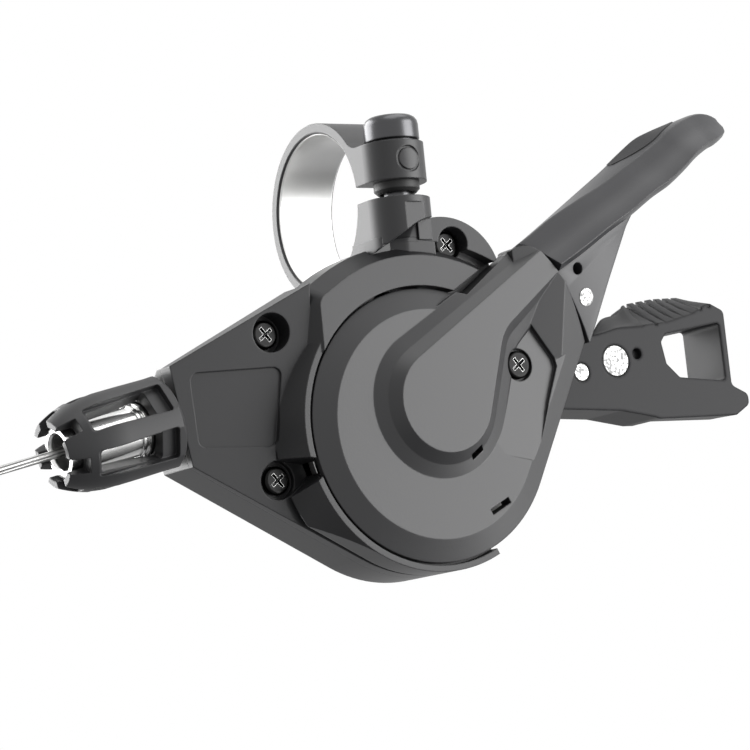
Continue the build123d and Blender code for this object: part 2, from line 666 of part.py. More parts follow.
def rear_case():
    """Rear housing shell, relieved for the handlebar and open towards the levers."""
    body = slab(case_outline(CASE_R, LEVER_WINDOW_TOP), REAR_BACK, SEAM_H)
    floor = slab(disc(CASE_R - 0.1), REAR_BACK, REAR_BACK + REAR_FLOOR)
    floor = chamfer(floor.edges().group_by(Axis.Y)[-1], 0.9)
    body -= upper_taper()
    body += floor
    body = case_bores(body)
    body -= Cylinder(SADDLE_R, 200, rotation=(0, 90, 0))
    for x, z, _ in CASE_SCREWS:
        body -= post(x, z, SCREW_R + FIT_GAP, CASE_SCREW_TIP - 0.5, 20)
    body -= post(AXIS_X, AXIS_Z, AXLE_R - 0.6 + FIT_GAP, -5, 20)
    body -= post(RELEASE_PIVOT[0], RELEASE_PIVOT[1], RELEASE_PIN_R - 0.4 + FIT_GAP, -5, 20)
    body -= port_tool(FIT_GAP, 12)
    return biggest(body)


def upper_taper():
    """Room taken off the back of the nose and the upper wall, which slope in towards the back."""
    upper, _ = nose_corners()
    touch = polar(CASE_R, tangent_angle(upper, CASE_R, -1))
    along = Vector(touch[0] - upper[0], 0, touch[1] - upper[1]).normalized()
    out = Vector(-along.Z, 0, along.X)
    slope = math.radians(TAPER_ANGLE)
    normal = out * math.cos(slope) + Vector(0, 1, 0) * math.sin(slope)
    plane = Plane(origin=(upper[0], -TAPER_START, upper[1]), x_dir=along, z_dir=normal)
    return plane * Box(ROOM, ROOM, ROOM, align=(Align.CENTER, Align.CENTER, Align.MIN))


def port_tool(margin, length):
    """The plugged port through which the cable's head goes in."""
    x, z = polar(CASE_R - 2.6, 180 + 46)
    spot = Plane(origin=(x, -(REAR_BACK), z), x_dir=(1, 0, 0), z_dir=(0, -1, 0))
    return spot * Cylinder(PORT_R + margin, length, align=(Align.CENTER, Align.CENTER, Align.CENTER))


def biggest(shape):
    """The largest solid of a shape, without crumbs that a cut may leave."""
    return shape.solids().sort_by(SortBy.VOLUME)[-1]


def case_screws():
    screws = []
    for x, z, floor in CASE_SCREWS:
        screws.append(cross_screw(x, z, floor, CASE_SCREW_TIP))
    return Compound(screws)


def cable_port_plug():
    """Slotted plug over the port in the back of the housing."""
    x, z = polar(CASE_R - 2.6, 180 + 46)
    body = post(x, z, PORT_R, REAR_BACK - 0.6, REAR_BACK + REAR_FLOOR - 0.1)
    slot = slab(Pos(x, z) * Rectangle(4.0, 0.9), REAR_BACK - 1, REAR_BACK)
    return body - slot


# Cover


def ridge_outline(grow):
    """The raised ridge: a hook round the axis that runs out along the arm to the lever's blade."""
    radius = RIDGE_HOOK_R + grow
    end_left = blade_point(RIDGE_END, 1.5 - grow * 0.55)
    end_right = blade_point(RIDGE_END, 5.4 + grow * 0.6)
    left_bearing = math.degrees(math.atan2(end_left[1] - RIDGE_HOOK_Z, end_left[0] - RIDGE_HOOK_X))
    left_reach = math.hypot(end_left[0] - RIDGE_HOOK_X, end_left[1] - RIDGE_HOOK_Z)
    touch = left_bearing + math.degrees(math.acos(radius / left_reach))
    start = polar(radius, touch, RIDGE_HOOK_X, RIDGE_HOOK_Z)
    bend = (RIDGE_BEND[0] + grow * 0.9, RIDGE_BEND[1] - grow * 0.55)
    right_bearing = math.degrees(math.atan2(bend[1] - RIDGE_HOOK_Z, bend[0] - RIDGE_HOOK_X))
    right_reach = math.hypot(bend[0] - RIDGE_HOOK_X, bend[1] - RIDGE_HOOK_Z)
    leave = right_bearing - math.degrees(math.acos(radius / right_reach))
    stop = polar(radius, leave, RIDGE_HOOK_X, RIDGE_HOOK_Z)
    middle = polar(radius, (touch + leave + 360) / 2, RIDGE_HOOK_X, RIDGE_HOOK_Z)
    face = make_face(
        [
            Line(end_left, start),
            ThreePointArc(start, middle, stop),
            Line(stop, bend),
            Line(bend, end_right),
            Line(end_right, end_left),
        ]
    )
    corner = face.vertices().sort_by_distance(Vector(bend[0], bend[1], 0))[0]
    return fillet(corner, max(7.0 - grow, 2.0))


def blade_point(along, across):
    """A point in the plane of the levers, along the blade and across it."""
    angle = math.radians(BLADE_ANGLE)
    x = BLADE_X + along * math.cos(angle) + across * math.sin(angle)
    z = BLADE_Z + along * math.sin(angle) - across * math.cos(angle)
    return (x, z)


def groove_edges():
    """The curved end of the cover's arm, where the blade begins, in two arcs."""
    return [
        ThreePointArc(GROOVE_LEFT, GROOVE_CROWN, GROOVE_TURN),
        ThreePointArc(GROOVE_TURN, GROOVE_MIDDLE, GROOVE_END),
    ]


def arm_outline():
    """Outline of the cover's arm, from the disc to the lever's blade."""
    right_touch = polar(COVER_R, tangent_angle(GROOVE_END, COVER_R, -1))
    left_touch = polar(COVER_R, COVER_CORNER_ANGLE)
    return make_face(
        [
            Line((AXIS_X, AXIS_Z), left_touch),
            Line(left_touch, COVER_CORNER),
            Line(COVER_CORNER, GROOVE_LEFT),
            *groove_edges(),
            Line(GROOVE_END, right_touch),
            Line(right_touch, (AXIS_X, AXIS_Z)),
        ]
    )


def lever_cover():
    """Round cover with a bevelled rim, a raised ridge that hooks round the axis, and an arm."""
    round_part = slab(disc(COVER_R), COVER_BACK, RIM_H) + cover_cone()
    arm = slab(arm_outline(), COVER_BACK, FACE_H) - arm_bevel()
    base = round_part + arm
    flank = loft([at_height(FACE_H - 0.2) * ridge_outline(RIDGE_FLANK), at_height(FACE_H + 0.9) * ridge_outline(1.6)])
    crest = loft([at_height(FACE_H + 0.9) * ridge_outline(1.6), at_height(RIDGE_H) * ridge_outline(0.0)])
    body = base - hollow() + flank + crest + arm_shoulder()
    reach = slab(disc(COVER_R) + arm_outline(), COVER_BACK, RIDGE_H + 1)
    body = body & reach
    body -= post(AXIS_X, AXIS_Z, NUT_FLATS / 2 + 1.0, 0, COVER_BACK + 2.3)
    body -= slab(disc(9.6) - disc(5.2), 0, COVER_BACK + 1.1)
    x, z = COVER_SCREW
    body -= post(x, z, 2.4, COVER_BACK + 1.0, ROOM)
    body -= post(x, z, SCREW_R + FIT_GAP, 0, ROOM)
    for (sx, sz), length, turn in COVER_SLOTS:
        slot = Pos(sx, sz) * (Rot(0, 0, turn) * Rectangle(length, 0.9))
        body -= slab(slot, 0, ROOM)
    return biggest(body)


def cover_cone():
    """The bevelled upper part of the round cover."""
    cone = Cone(COVER_R, COVER_R - RIM_BEVEL, FACE_H - RIM_H, align=(Align.CENTER, Align.CENTER, Align.MIN))
    return at_height(RIM_H, AXIS_X, AXIS_Z) * cone


def arm_bevel():
    """Room above the bevel along the arm's lower edge."""
    angle = tangent_angle(GROOVE_END, COVER_R, -1)
    touch = polar(COVER_R, angle)
    inner = polar(COVER_R - RIM_BEVEL, angle)
    return above(
        (GROOVE_END[0], GROOVE_END[1], RIM_H), (touch[0], touch[1], RIM_H), (inner[0], inner[1], FACE_H)
    )


def hollow():
    """The hollow between the ridge and the border, deepest along the border."""
    outline = polygon(HOLLOW, 0.3)
    room = above(
        (SHOULDER_APEX[0], SHOULDER_APEX[1], FACE_H - HOLLOW_DEPTH),
        (SHOULDER_CORNER[0], SHOULDER_CORNER[1], FACE_H - HOLLOW_DEPTH),
        (HOLLOW[-4][0], HOLLOW[-4][1], FACE_H),
    )
    return slab(outline, COVER_BACK, RIDGE_H) & room


def arm_shoulder():
    """The part of the arm beside the ridge, sloping from the lever down to the cover's face."""
    wide = make_face(
        [
            *groove_edges(),
            Line(GROOVE_END, SHOULDER_CORNER),
            Line(SHOULDER_CORNER, SHOULDER_APEX),
            Line(SHOULDER_APEX, GROOVE_LEFT),
        ]
    )
    block = slab(wide, FACE_H - 1.5, RIDGE_H + 2)
    corner = (SHOULDER_CORNER[0], SHOULDER_CORNER[1], FACE_H)
    apex = (SHOULDER_APEX[0], SHOULDER_APEX[1], FACE_H + APEX_RISE)
    turn = (GROOVE_TURN[0], GROOVE_TURN[1], FACE_H + TURN_RISE)
    return block - above(corner, apex, turn) - arm_bevel()


def cover_screw():
    x, z = COVER_SCREW
    return cross_screw(x, z, COVER_BACK + 1.0, MAIN_ARM_H)


# Main lever


def blade_section(station):
    """One cross-section of the blade, with a rounded outer side towards the thumb."""
    along, far, ridge, near, far_h, ridge_h, near_h = station
    angle = math.radians(BLADE_ANGLE)
    x, z = blade_point(along, 0)
    across = (math.sin(angle), 0, -math.cos(angle))
    normal = (math.cos(angle), 0, math.sin(angle))
    plane = Plane(origin=(x, 0, z), x_dir=across, z_dir=normal)
    side = 1.0
    thick = BLADE_THICK
    points = (
        (far, side * far_h),
        (ridge, side * ridge_h),
        (near, side * near_h),
        (near + thick * 0.45, side * (near_h - thick * 0.75)),
        (ridge + thick, side * (ridge_h - thick * 0.35)),
        (far + thick, side * far_h),
    )
    probe = plane.to_local_coords(Vector(x, -1, z)).Y
    flat = [(p[0], p[1] * probe) for p in points]
    return plane * polygon(flat, BLADE_ROUND)


def blade():
    """The lever's blade, lofted through its cross-sections."""
    return loft([blade_section(station) for station in BLADE_STATIONS])


def main_lever():
    """Moulded lever: thumb blade and the flat web under it, riveted to the steel arm."""
    low = MAIN_ARM_H + ARM_THICK
    high = low + MAIN_WEB_THICK
    body = slab(polygon(MAIN_WEB), low, high) + blade()
    edges = groove_edges()
    behind = make_face(
        [
            *edges,
            Line(GROOVE_END, (GROOVE_END[0], AXIS_Z)),
            Line((GROOVE_END[0], AXIS_Z), (AXIS_X, AXIS_Z)),
            Line((AXIS_X, AXIS_Z), (AXIS_X, GROOVE_LEFT[1])),
            Line((AXIS_X, GROOVE_LEFT[1]), GROOVE_LEFT),
        ]
    )
    body -= slab(offset(behind, GROOVE_W_LEVER), 0, ROOM)
    body -= post(MAIN_HOLE[0], MAIN_HOLE[1], SMALL_HOLE_R, low + 0.3, ROOM)
    body -= post(MAIN_RIVET[0], MAIN_RIVET[1], SMALL_RIVET_R - 0.35 + FIT_GAP, 0, ROOM)
    body -= post(MAIN_RIVET[0], MAIN_RIVET[1], SMALL_RIVET_R + 0.1, high - 0.3, ROOM)
    return biggest(body)


def main_lever_arm():
    """Steel arm of the main lever: a ring round the axle and a tongue under the web."""
    plate = disc(MAIN_ARM_R) + polygon(MAIN_TONGUE, 1.5)
    drive = polar(DRIVE_PIN_R_FROM_AXIS, DRIVE_PIN_ANGLE)
    plate += make_hull(
        (Pos(drive[0], drive[1]) * Circle(2.6)).edges() + (Pos(AXIS_X, AXIS_Z) * Circle(8)).edges()
    )
    body = slab(plate, MAIN_ARM_H, MAIN_ARM_H + ARM_THICK)
    body -= post(AXIS_X, AXIS_Z, BUSH_R + FIT_GAP, 0, ROOM)
    body -= post(COVER_SCREW[0], COVER_SCREW[1], SCREW_R + FIT_GAP, 0, ROOM)
    body -= post(MAIN_RIVET[0], MAIN_RIVET[1], SMALL_RIVET_R - 0.35 + FIT_GAP, 0, ROOM)
    body -= post(drive[0], drive[1], PAWL_PIN_R - 0.3 + FIT_GAP, 0, ROOM)
    return body


def rivet(x, z, radius, low, high):
    """A rivet with a flat head on the cover's side and a smaller one behind."""
    shank = post(x, z, radius - 0.35, low, high)
    head = post(x, z, radius, high - 0.3, high + RIVET_HEAD - 0.3)
    head = chamfer(head.edges().group_by(Axis.Y)[0], 0.12)
    return shank + head


def main_lever_rivet():
    high = MAIN_ARM_H + ARM_THICK + MAIN_WEB_THICK
    return rivet(MAIN_RIVET[0], MAIN_RIVET[1], SMALL_RIVET_R, MAIN_ARM_H, high)


def lever_bush():
    """Bush on which the main lever turns round the axle."""
    low = BASE_H + BASE_THICK + FIT_GAP
    high = MAIN_ARM_H + ARM_THICK + 0.6
    body = post(AXIS_X, AXIS_Z, BUSH_R, low, high)
    return body - post(AXIS_X, AXIS_Z, AXLE_R + FIT_GAP, 0, ROOM)


# Release lever


def release_web():
    """Outline of the release lever's flat web, up to the finger loop."""
    return polygon(WEB_OUTLINE, 0.6)


def release_loop():
    """The strap round the finger opening, which widens and rises towards the back."""
    high = RELEASE_ARM_H + ARM_THICK + RELEASE_WEB_THICK
    front = at_height(high) * polygon(LOOP_FRONT, LOOP_ROUND)
    back = at_height(LOOP_BACK_H) * polygon(LOOP_BACK, LOOP_ROUND)
    return loft([back, front], ruled=True)


def pad_ribs():
    """Grooves across the two pads of the finger loop, along their slope."""
    high = RELEASE_ARM_H + ARM_THICK + RELEASE_WEB_THICK
    grooves = []
    for count in range(RIB_COUNT):
        x = RIB_START + count * RIB_STEP
        share = (x - RIB_START) / (RIB_STEP * (RIB_COUNT - 1))
        near = RIB_NEAR[0] + (RIB_NEAR[1] - RIB_NEAR[0]) * share
        far = RIB_FAR[0] + (RIB_FAR[1] - RIB_FAR[0]) * share
        along = Vector(RIB_LEAN, -(high - LOOP_BACK_H), near - far)
        middle = Vector(x, -(high + LOOP_BACK_H) / 2, (near + far) / 2)
        across = Vector(1, 0, 0).cross(along)
        plane = Plane(origin=middle, x_dir=along, z_dir=across)
        grooves.append(plane * Box(3 * high, RIB_W, RIB_DEPTH * 2))
    return grooves


def release_lever():
    """Moulded release lever: a web with skirts behind it, and the finger loop with its pads."""
    low = RELEASE_ARM_H + ARM_THICK
    high = low + RELEASE_WEB_THICK
    web = slab(release_web(), low, high)
    skirt = slab(release_web() - polygon(WEB_ROOM, 0.5), LOOP_BACK_H, low)
    skirt -= slab(Rectangle(2 * SKIRT_START, ROOM), 0, low)
    body = web + skirt + release_loop()
    body -= slab(polygon(LOOP_OPENING, 0.6), 0, ROOM)
    for groove in pad_ribs():
        body -= groove
    body -= post(RELEASE_RIVET[0], RELEASE_RIVET[1], RELEASE_RIVET_R - 0.35 + FIT_GAP, 0, ROOM)
    body -= post(RELEASE_RIVET[0], RELEASE_RIVET[1], RELEASE_RIVET_R + 0.1, high - 0.3, ROOM)
    x, z = RELEASE_SMALL_RIVET
    body -= post(x, z, SMALL_RIVET_R - 0.35 + FIT_GAP, 0, ROOM)
    body -= post(x, z, SMALL_RIVET_R + 0.1, high - 0.3, ROOM)
    body -= post(RELEASE_HOLE[0], RELEASE_HOLE[1], SMALL_HOLE_R, low + 0.3, ROOM)
    return biggest(body)


def release_lever_arm():
    """Steel arm of the release lever, from its pivot pin to under the web."""
    px, pz = RELEASE_PIVOT
    eye = Pos(px, pz) * Circle(3.0)
    root = (px - 0.5, pz + 3.0)
    tongue = polygon((root, *RELEASE_TONGUE, (px + 1.2, pz - 2.7)), 0.8)
    body = slab(eye + tongue, RELEASE_ARM_H, RELEASE_ARM_H + ARM_THICK)
    body -= post(px, pz, RELEASE_PIN_R + FIT_GAP, 0, ROOM)
    body -= post(RELEASE_RIVET[0], RELEASE_RIVET[1], RELEASE_RIVET_R - 0.35 + FIT_GAP, 0, ROOM)
    x, z = RELEASE_SMALL_RIVET
    body -= post(x, z, SMALL_RIVET_R - 0.35 + FIT_GAP, 0, ROOM)
    return body


def release_rivets():
    high = RELEASE_ARM_H + ARM_THICK + RELEASE_WEB_THICK
    big = rivet(RELEASE_RIVET[0], RELEASE_RIVET[1], RELEASE_RIVET_R, RELEASE_ARM_H, high)
    small = rivet(RELEASE_SMALL_RIVET[0], RELEASE_SMALL_RIVET[1], SMALL_RIVET_R, RELEASE_ARM_H, high)
    return Compound([big, small])


def release_pivot():
    """Shouldered pin of the release lever, between the rear housing and the base plate."""
    px, pz = RELEASE_PIVOT
    pin = post(px, pz, RELEASE_PIN_R, REAR_BACK + REAR_FLOOR, BASE_H)
    end = post(px, pz, RELEASE_PIN_R - 0.4, REAR_BACK, BASE_H + BASE_THICK)
    collar = post(px, pz, RELEASE_PIN_R + 0.9, RELEASE_ARM_H - 1.0, RELEASE_ARM_H - FIT_GAP)
    return pin + end + collar


# Mechanism


def base_plate():
    """Steel plate that carries the axle, the pins and the clamp's foot."""
    plate = disc(BASE_R) + polygon(BASE_TAB, 1.0)
    keep_out = polygon(((BASE_R, AXIS_Z + 4), (3 * BASE_R, AXIS_Z + 44), (3 * BASE_R, AXIS_Z + 4)))
    body = slab(plate - keep_out, BASE_H, BASE_H + BASE_THICK)
    start = DRIVE_PIN_ANGLE + 5
    stop = DRIVE_PIN_ANGLE - MAIN_TRAVEL - 5
    window = sector(DRIVE_PIN_R_FROM_AXIS + 2, stop, start) - disc(DRIVE_PIN_R_FROM_AXIS - 2)
    body -= slab(window, 0, ROOM)
    body -= post(AXIS_X, AXIS_Z, AXLE_R + FIT_GAP, 0, ROOM)
    body -= post(RELEASE_PIVOT[0], RELEASE_PIVOT[1], RELEASE_PIN_R - 0.4 + FIT_GAP, 0, ROOM)
    body -= post(HOLD_PIN[0], HOLD_PIN[1], PAWL_PIN_R - 0.3 + FIT_GAP, 0, ROOM)
    body -= post(FOOT_SCREW_X, FOOT_SCREW_Z, SCREW_R + FIT_GAP, 0, ROOM)
    return body


def main_axle():
    """Axle of the levers and the drum, riveted in the rear housing, with the nut's thread in front."""
    low = REAR_BACK + REAR_FLOOR
    body = post(AXIS_X, AXIS_Z, AXLE_R, low, MAIN_ARM_H + ARM_THICK + 0.9)
    body += post(AXIS_X, AXIS_Z, AXLE_R + 1.8, low, low + 1.0)
    body += post(AXIS_X, AXIS_Z, AXLE_R - 0.6, REAR_BACK, COVER_BACK + 1.9)
    return body


def axle_nut():
    """Nut that holds the levers on the axle."""
    low = MAIN_ARM_H + ARM_THICK + 0.9
    body = extrude(
        at_height(low, AXIS_X, AXIS_Z) * RegularPolygon(NUT_FLATS / math.sqrt(3), 6), amount=NUT_H
    )
    return body - post(AXIS_X, AXIS_Z, AXLE_R - 0.6 + FIT_GAP, 0, ROOM)


def cable_drum():
    """Drum with the cable's groove and the pocket of the cable's head."""
    body = post(AXIS_X, AXIS_Z, DRUM_R, DRUM_H, DRUM_TOP)
    groove = disc(DRUM_R + 1) - disc(CABLE_PITCH_R - CABLE_R - 0.15)
    body -= slab(groove, CABLE_H - GROOVE_W / 2, CABLE_H + GROOVE_W / 2)
    body -= post(AXIS_X, AXIS_Z, AXLE_R + FIT_GAP, 0, ROOM)
    x, z = nipple_place()
    body -= post(x, z, NIPPLE_R + FIT_GAP, DRUM_H + 0.6, ROOM)
    body -= slab(disc(7.4), 0, DRUM_H + 1.0) - post(AXIS_X, AXIS_Z, 4.6, 0, ROOM)
    return body




def nipple_place():
    return polar(CABLE_PITCH_R - 1.3, NIPPLE_ANGLE)


def cable_nipple():
    """Head of the cable, seated in the drum."""
    x, z = nipple_place()
    return post(x, z, NIPPLE_R, DRUM_H + 0.65, DRUM_TOP)


def ratchet_wheel():
    """Toothed wheel on the drum, one saw tooth for each gear that the pawls hold."""
    points = []
    step = 360.0 / RATCHET_TEETH
    for tooth in range(RATCHET_TEETH):
        points.append(polar(RATCHET_R, tooth * step))
        points.append(polar(RATCHET_ROOT_R, tooth * step + 0.12 * step))
    wheel = slab(polygon(points), DRUM_TOP, DRUM_TOP + RATCHET_THICK)
    return wheel - post(AXIS_X, AXIS_Z, AXLE_R + FIT_GAP, 0, ROOM)


def pawl(pin, nose_angle, length):
    """A pawl on its pin: a round eye and a nose that points along the given angle."""
    x, z = pin
    turn = math.radians(nose_angle)
    nose = (x + length * math.cos(turn), z + length * math.sin(turn))
    outline = make_hull((Pos(x, z) * Circle(2.2)).edges() + (Pos(nose[0], nose[1]) * Circle(0.5)).edges())
    body = slab(outline, PAWL_H, PAWL_H + PAWL_THICK)
    return body - post(x, z, PAWL_PIN_R + FIT_GAP, 0, ROOM)




def holding_pawl():
    return pawl(HOLD_PIN, 50.0, 4.6)


def drive_pawl():
    return pawl(polar(DRIVE_PIN_R_FROM_AXIS, DRIVE_PIN_ANGLE), 8.0, 6.9)


def pawl_pin(place, low, high):
    """A pin with a collar under the pawl and a thinner end in its plate."""
    x, z = place
    pin = post(x, z, PAWL_PIN_R, PAWL_H - 0.8, low)
    end = post(x, z, PAWL_PIN_R - 0.3, low, high)
    head = post(x, z, PAWL_PIN_R + 0.6, PAWL_H - 0.8, PAWL_H - FIT_GAP)
    return pin + end + head


def holding_pawl_pin():
    return pawl_pin(HOLD_PIN, BASE_H, BASE_H + BASE_THICK)


def drive_pawl_pin():
    place = polar(DRIVE_PIN_R_FROM_AXIS, DRIVE_PIN_ANGLE)
    return pawl_pin(place, MAIN_ARM_H, MAIN_ARM_H + ARM_THICK)


def coil_spring(x, z, mean_r, low, turns, pitch):
    """A torsion spring of round wire about an axis across the layers."""
    path = Helix(pitch, pitch * turns, mean_r)
    start = path @ 0
    wire = Plane(origin=start, z_dir=path % 0) * Circle(SPRING_WIRE / 2)
    return at_height(low + SPRING_WIRE / 2, x, z) * sweep(wire, path=path)


def drum_spring():
    return coil_spring(AXIS_X, AXIS_Z, 6.0, REAR_BACK + REAR_FLOOR + 0.25, 1.75, SPRING_WIRE + 0.1)


def lever_spring():
    return coil_spring(AXIS_X, AXIS_Z, 7.4, MAIN_ARM_H + ARM_THICK + 0.1, 1.2, SPRING_WIRE + 0.1)


def release_spring():
    return coil_spring(
        RELEASE_PIVOT[0], RELEASE_PIVOT[1], 2.05, REAR_BACK + REAR_FLOOR + 0.3, 4.0, SPRING_WIRE + 0.15
    )


# Adjuster


def adjuster_insert():
    """Threaded insert in the housing's nose."""
    body = Cylinder(INSERT_R, INSERT_LENGTH, align=(Align.CENTER, Align.CENTER, Align.MIN))
    body -= Cylinder(TUBE_THREAD_R + FIT_GAP, 3 * INSERT_LENGTH)
    return adjuster_plane(-INSERT_LENGTH) * body


def adjuster_bolt():
    """Threaded tube that takes the end of the cable's housing."""
    low = (Align.CENTER, Align.CENTER, Align.MIN)
    length = TUBE_INSIDE + KNOB_GAP + KNOB_LENGTH - 1.0
    body = Cylinder(TUBE_THREAD_R, length, align=low)
    body += Pos(0, 0, TUBE_INSIDE + 0.4) * Cylinder(TUBE_R, length - TUBE_INSIDE - 0.4, align=low)
    for place in (TUBE_INSIDE + KNOB_GAP + 3.7, TUBE_INSIDE + KNOB_GAP + 4.7):
        ring = Pos(0, 0, place) * Cylinder(TUBE_STEP_R, 0.5, align=low)
        body += ring
    body -= Pos(0, 0, length - TUBE_SOCKET_DEPTH) * Cylinder(TUBE_SOCKET_R, TUBE_SOCKET_DEPTH + 1, align=low)
    body -= Cylinder(TUBE_HOLE_R, 3 * length)
    mouth = body.edges().sort_by(Axis.Z)[-1]
    body = chamfer(mouth, 0.35)
    return adjuster_plane(-TUBE_INSIDE) * body


def adjuster_knob():
    """Ribbed cage of the adjuster: six ribs, windows between them and notches at the end."""
    shape = [
        (KNOB_BORE_R, 0),
        (KNOB_R - 0.4, 0),
        (KNOB_R, 0.5),
        (KNOB_R, KNOB_TAPER_START),
    ]
    side = Polyline(*shape)
    taper = ThreePointArc(
        (KNOB_R, KNOB_TAPER_START),
        ((KNOB_R + KNOB_END_R) / 2 + 0.45, (KNOB_TAPER_START + KNOB_LENGTH) / 2 + 0.6),
        (KNOB_END_R, KNOB_LENGTH),
    )
    back = Polyline((KNOB_END_R, KNOB_LENGTH), (KNOB_BORE_R, KNOB_LENGTH), (KNOB_BORE_R, 0))
    profile = make_face([*side.edges(), taper, *back.edges()])
    body = revolve(Plane.XZ * profile, Axis.Z)
    flats = extrude(RegularPolygon(KNOB_FLAT / math.cos(math.pi / KNOB_WINDOWS), KNOB_WINDOWS), amount=KNOB_LENGTH)
    body = body & flats
    step = 360.0 / KNOB_WINDOWS
    window = polygon(
        (
            (-KNOB_WINDOW_W / 2, KNOB_WINDOW_START),
            (KNOB_WINDOW_W / 2, KNOB_WINDOW_START),
            (KNOB_WINDOW_END_W / 2, KNOB_WINDOW_END),
            (-KNOB_WINDOW_END_W / 2, KNOB_WINDOW_END),
        ),
        0.5,
    )
    scoop = polygon(
        (
            (-KNOB_WINDOW_W / 2 - 0.05, KNOB_WINDOW_START - 2.2),
            (KNOB_WINDOW_W / 2 + 0.05, KNOB_WINDOW_START - 2.2),
            (KNOB_WINDOW_END_W / 2 + 0.4, KNOB_WINDOW_END + 0.6),
            (-KNOB_WINDOW_END_W / 2 - 0.4, KNOB_WINDOW_END + 0.6),
        ),
        0.5,
    )
    for count in range(KNOB_WINDOWS):
        turn = Rot(0, 0, count * step + step / 2 + KNOB_TURN)
        body -= turn * extrude(Plane.XZ * window, amount=KNOB_R + 2)
        body -= turn * extrude(Plane.XZ.offset(KNOB_R - 1.35) * scoop, amount=4)
        notch = Pos(0, -(KNOB_BORE_R + 1.0), KNOB_LENGTH) * Box(KNOB_NOTCH_W, 2.6, 2 * KNOB_NOTCH_DEPTH)
        body -= turn * notch
    return adjuster_plane(KNOB_GAP) * body




# Cable


def coil_centre():
    """Centre of the put-away coil, which hangs from the straight run of cable."""
    start = cable_tangent()
    tilt = math.radians(CABLE_TILT)
    distance = (start[0] - COIL_X) / math.cos(tilt)
    x, z = along_cable(distance)
    return x + COIL_R * math.sin(tilt), z - COIL_R * math.cos(tilt), distance


def shift_cable():
    """The inner cable from the drum to the coil: a turn in the groove and a straight run."""
    centre_x, centre_z, distance = coil_centre()
    start = polar(CABLE_PITCH_R, NIPPLE_ANGLE + 14)
    middle = polar(CABLE_PITCH_R, (NIPPLE_ANGLE + 14 + 90 + CABLE_TILT) / 2)
    leave = cable_tangent()
    end = along_cable(distance)
    arc = ThreePointArc(*[Vector(p[0], -CABLE_H, p[1]) for p in (start, middle, leave)])
    run = Line(Vector(leave[0], -CABLE_H, leave[1]), Vector(end[0], -CABLE_H, end[1]))
    path = Wire([arc, run])
    section = Plane(origin=path @ 0, z_dir=path % 0) * Circle(CABLE_R)
    return biggest(sweep(section, path=path) - cable_coil())


def cable_coil():
    """The outer shape of the put-away turns."""
    x, z, _ = coil_centre()
    ring = Pos(COIL_R, 0) * RectangleRounded(2 * COIL_SECTION * 0.98, 2 * COIL_SECTION, COIL_SECTION * 0.8)
    body = revolve(Plane.XZ * ring, Axis.Z)
    return at_height(CABLE_H, x, z) * body


def cable_tie():
    """Tie round the coil."""
    x, z, _ = coil_centre()
    angle = math.radians(-150)
    place = (x + COIL_R * math.cos(angle), z + COIL_R * math.sin(angle))
    hole = RectangleRounded(2 * COIL_SECTION + 0.2, 2 * COIL_SECTION + 0.2, COIL_SECTION * 0.8)
    outer = RectangleRounded(
        2 * (COIL_SECTION + TIE_WALL) + 0.2, 2 * (COIL_SECTION + TIE_WALL) + 0.2, COIL_SECTION * 0.8 + TIE_WALL
    )
    plane = Plane(
        origin=(place[0], -CABLE_H, place[1]),
        x_dir=(math.cos(angle), 0, math.sin(angle)),
        z_dir=(-math.sin(angle), 0, math.cos(angle)),
    )
    return extrude(plane.offset(-TIE_W / 2) * (outer - hole), amount=TIE_W)


PARTS = {
    "clamp_band": clamp_band,
    "clamp_bolt": clamp_bolt,
    "bolt_retainer": bolt_retainer,
    "bracket_screw": bracket_screw,
    "front_case": front_case,
    "rear_case": rear_case,
    "case_screws": case_screws,
    "cable_port_plug": cable_port_plug,
    "lever_cover": lever_cover,
    "cover_screw": cover_screw,
    "main_lever": main_lever,
    "main_lever_arm": main_lever_arm,
    "main_lever_rivet": main_lever_rivet,
    "lever_bush": lever_bush,
    "release_lever": release_lever,
    "release_lever_arm": release_lever_arm,
    "release_rivets": release_rivets,
    "release_pivot": release_pivot,
    "base_plate": base_plate,
    "main_axle": main_axle,
    "axle_nut": axle_nut,
    "cable_drum": cable_drum,
    "cable_nipple": cable_nipple,
    "ratchet_wheel": ratchet_wheel,
    "holding_pawl": holding_pawl,
    "holding_pawl_pin": holding_pawl_pin,
    "drive_pawl": drive_pawl,
    "drive_pawl_pin": drive_pawl_pin,
    "drum_spring": drum_spring,
    "lever_spring": lever_spring,
    "release_spring": release_spring,
    "adjuster_insert": adjuster_insert,
    "adjuster_bolt": adjuster_bolt,
    "adjuster_knob": adjuster_knob,
    "shift_cable": shift_cable,
    "cable_coil": cable_coil,
    "cable_tie": cable_tie,
}


def main():
    os.makedirs("parts", exist_ok=True)
    for name, build in PARTS.items():
        shape = build()
        print(name, "solids", len(shape.solids()), "valid", shape.is_valid)
        export_step(shape, "parts/" + name + ".step")


main()
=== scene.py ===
import math

import bmesh
import bpy
from mathutils import Matrix, Vector


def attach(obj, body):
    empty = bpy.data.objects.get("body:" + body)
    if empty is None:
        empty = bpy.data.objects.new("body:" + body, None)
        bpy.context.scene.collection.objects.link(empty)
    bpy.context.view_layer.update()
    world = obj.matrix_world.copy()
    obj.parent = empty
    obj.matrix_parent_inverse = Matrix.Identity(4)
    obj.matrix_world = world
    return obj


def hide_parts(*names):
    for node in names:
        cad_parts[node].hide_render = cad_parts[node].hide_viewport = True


# A right-hand trigger gear shifter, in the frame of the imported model: +X along the handlebar, +Z along
# the clamp bolt, and the lever cover faces -Y. Sizes are typed in millimetres and built in metres. A height
# in the plane of the cover is the distance along -Y.

MM = 0.001

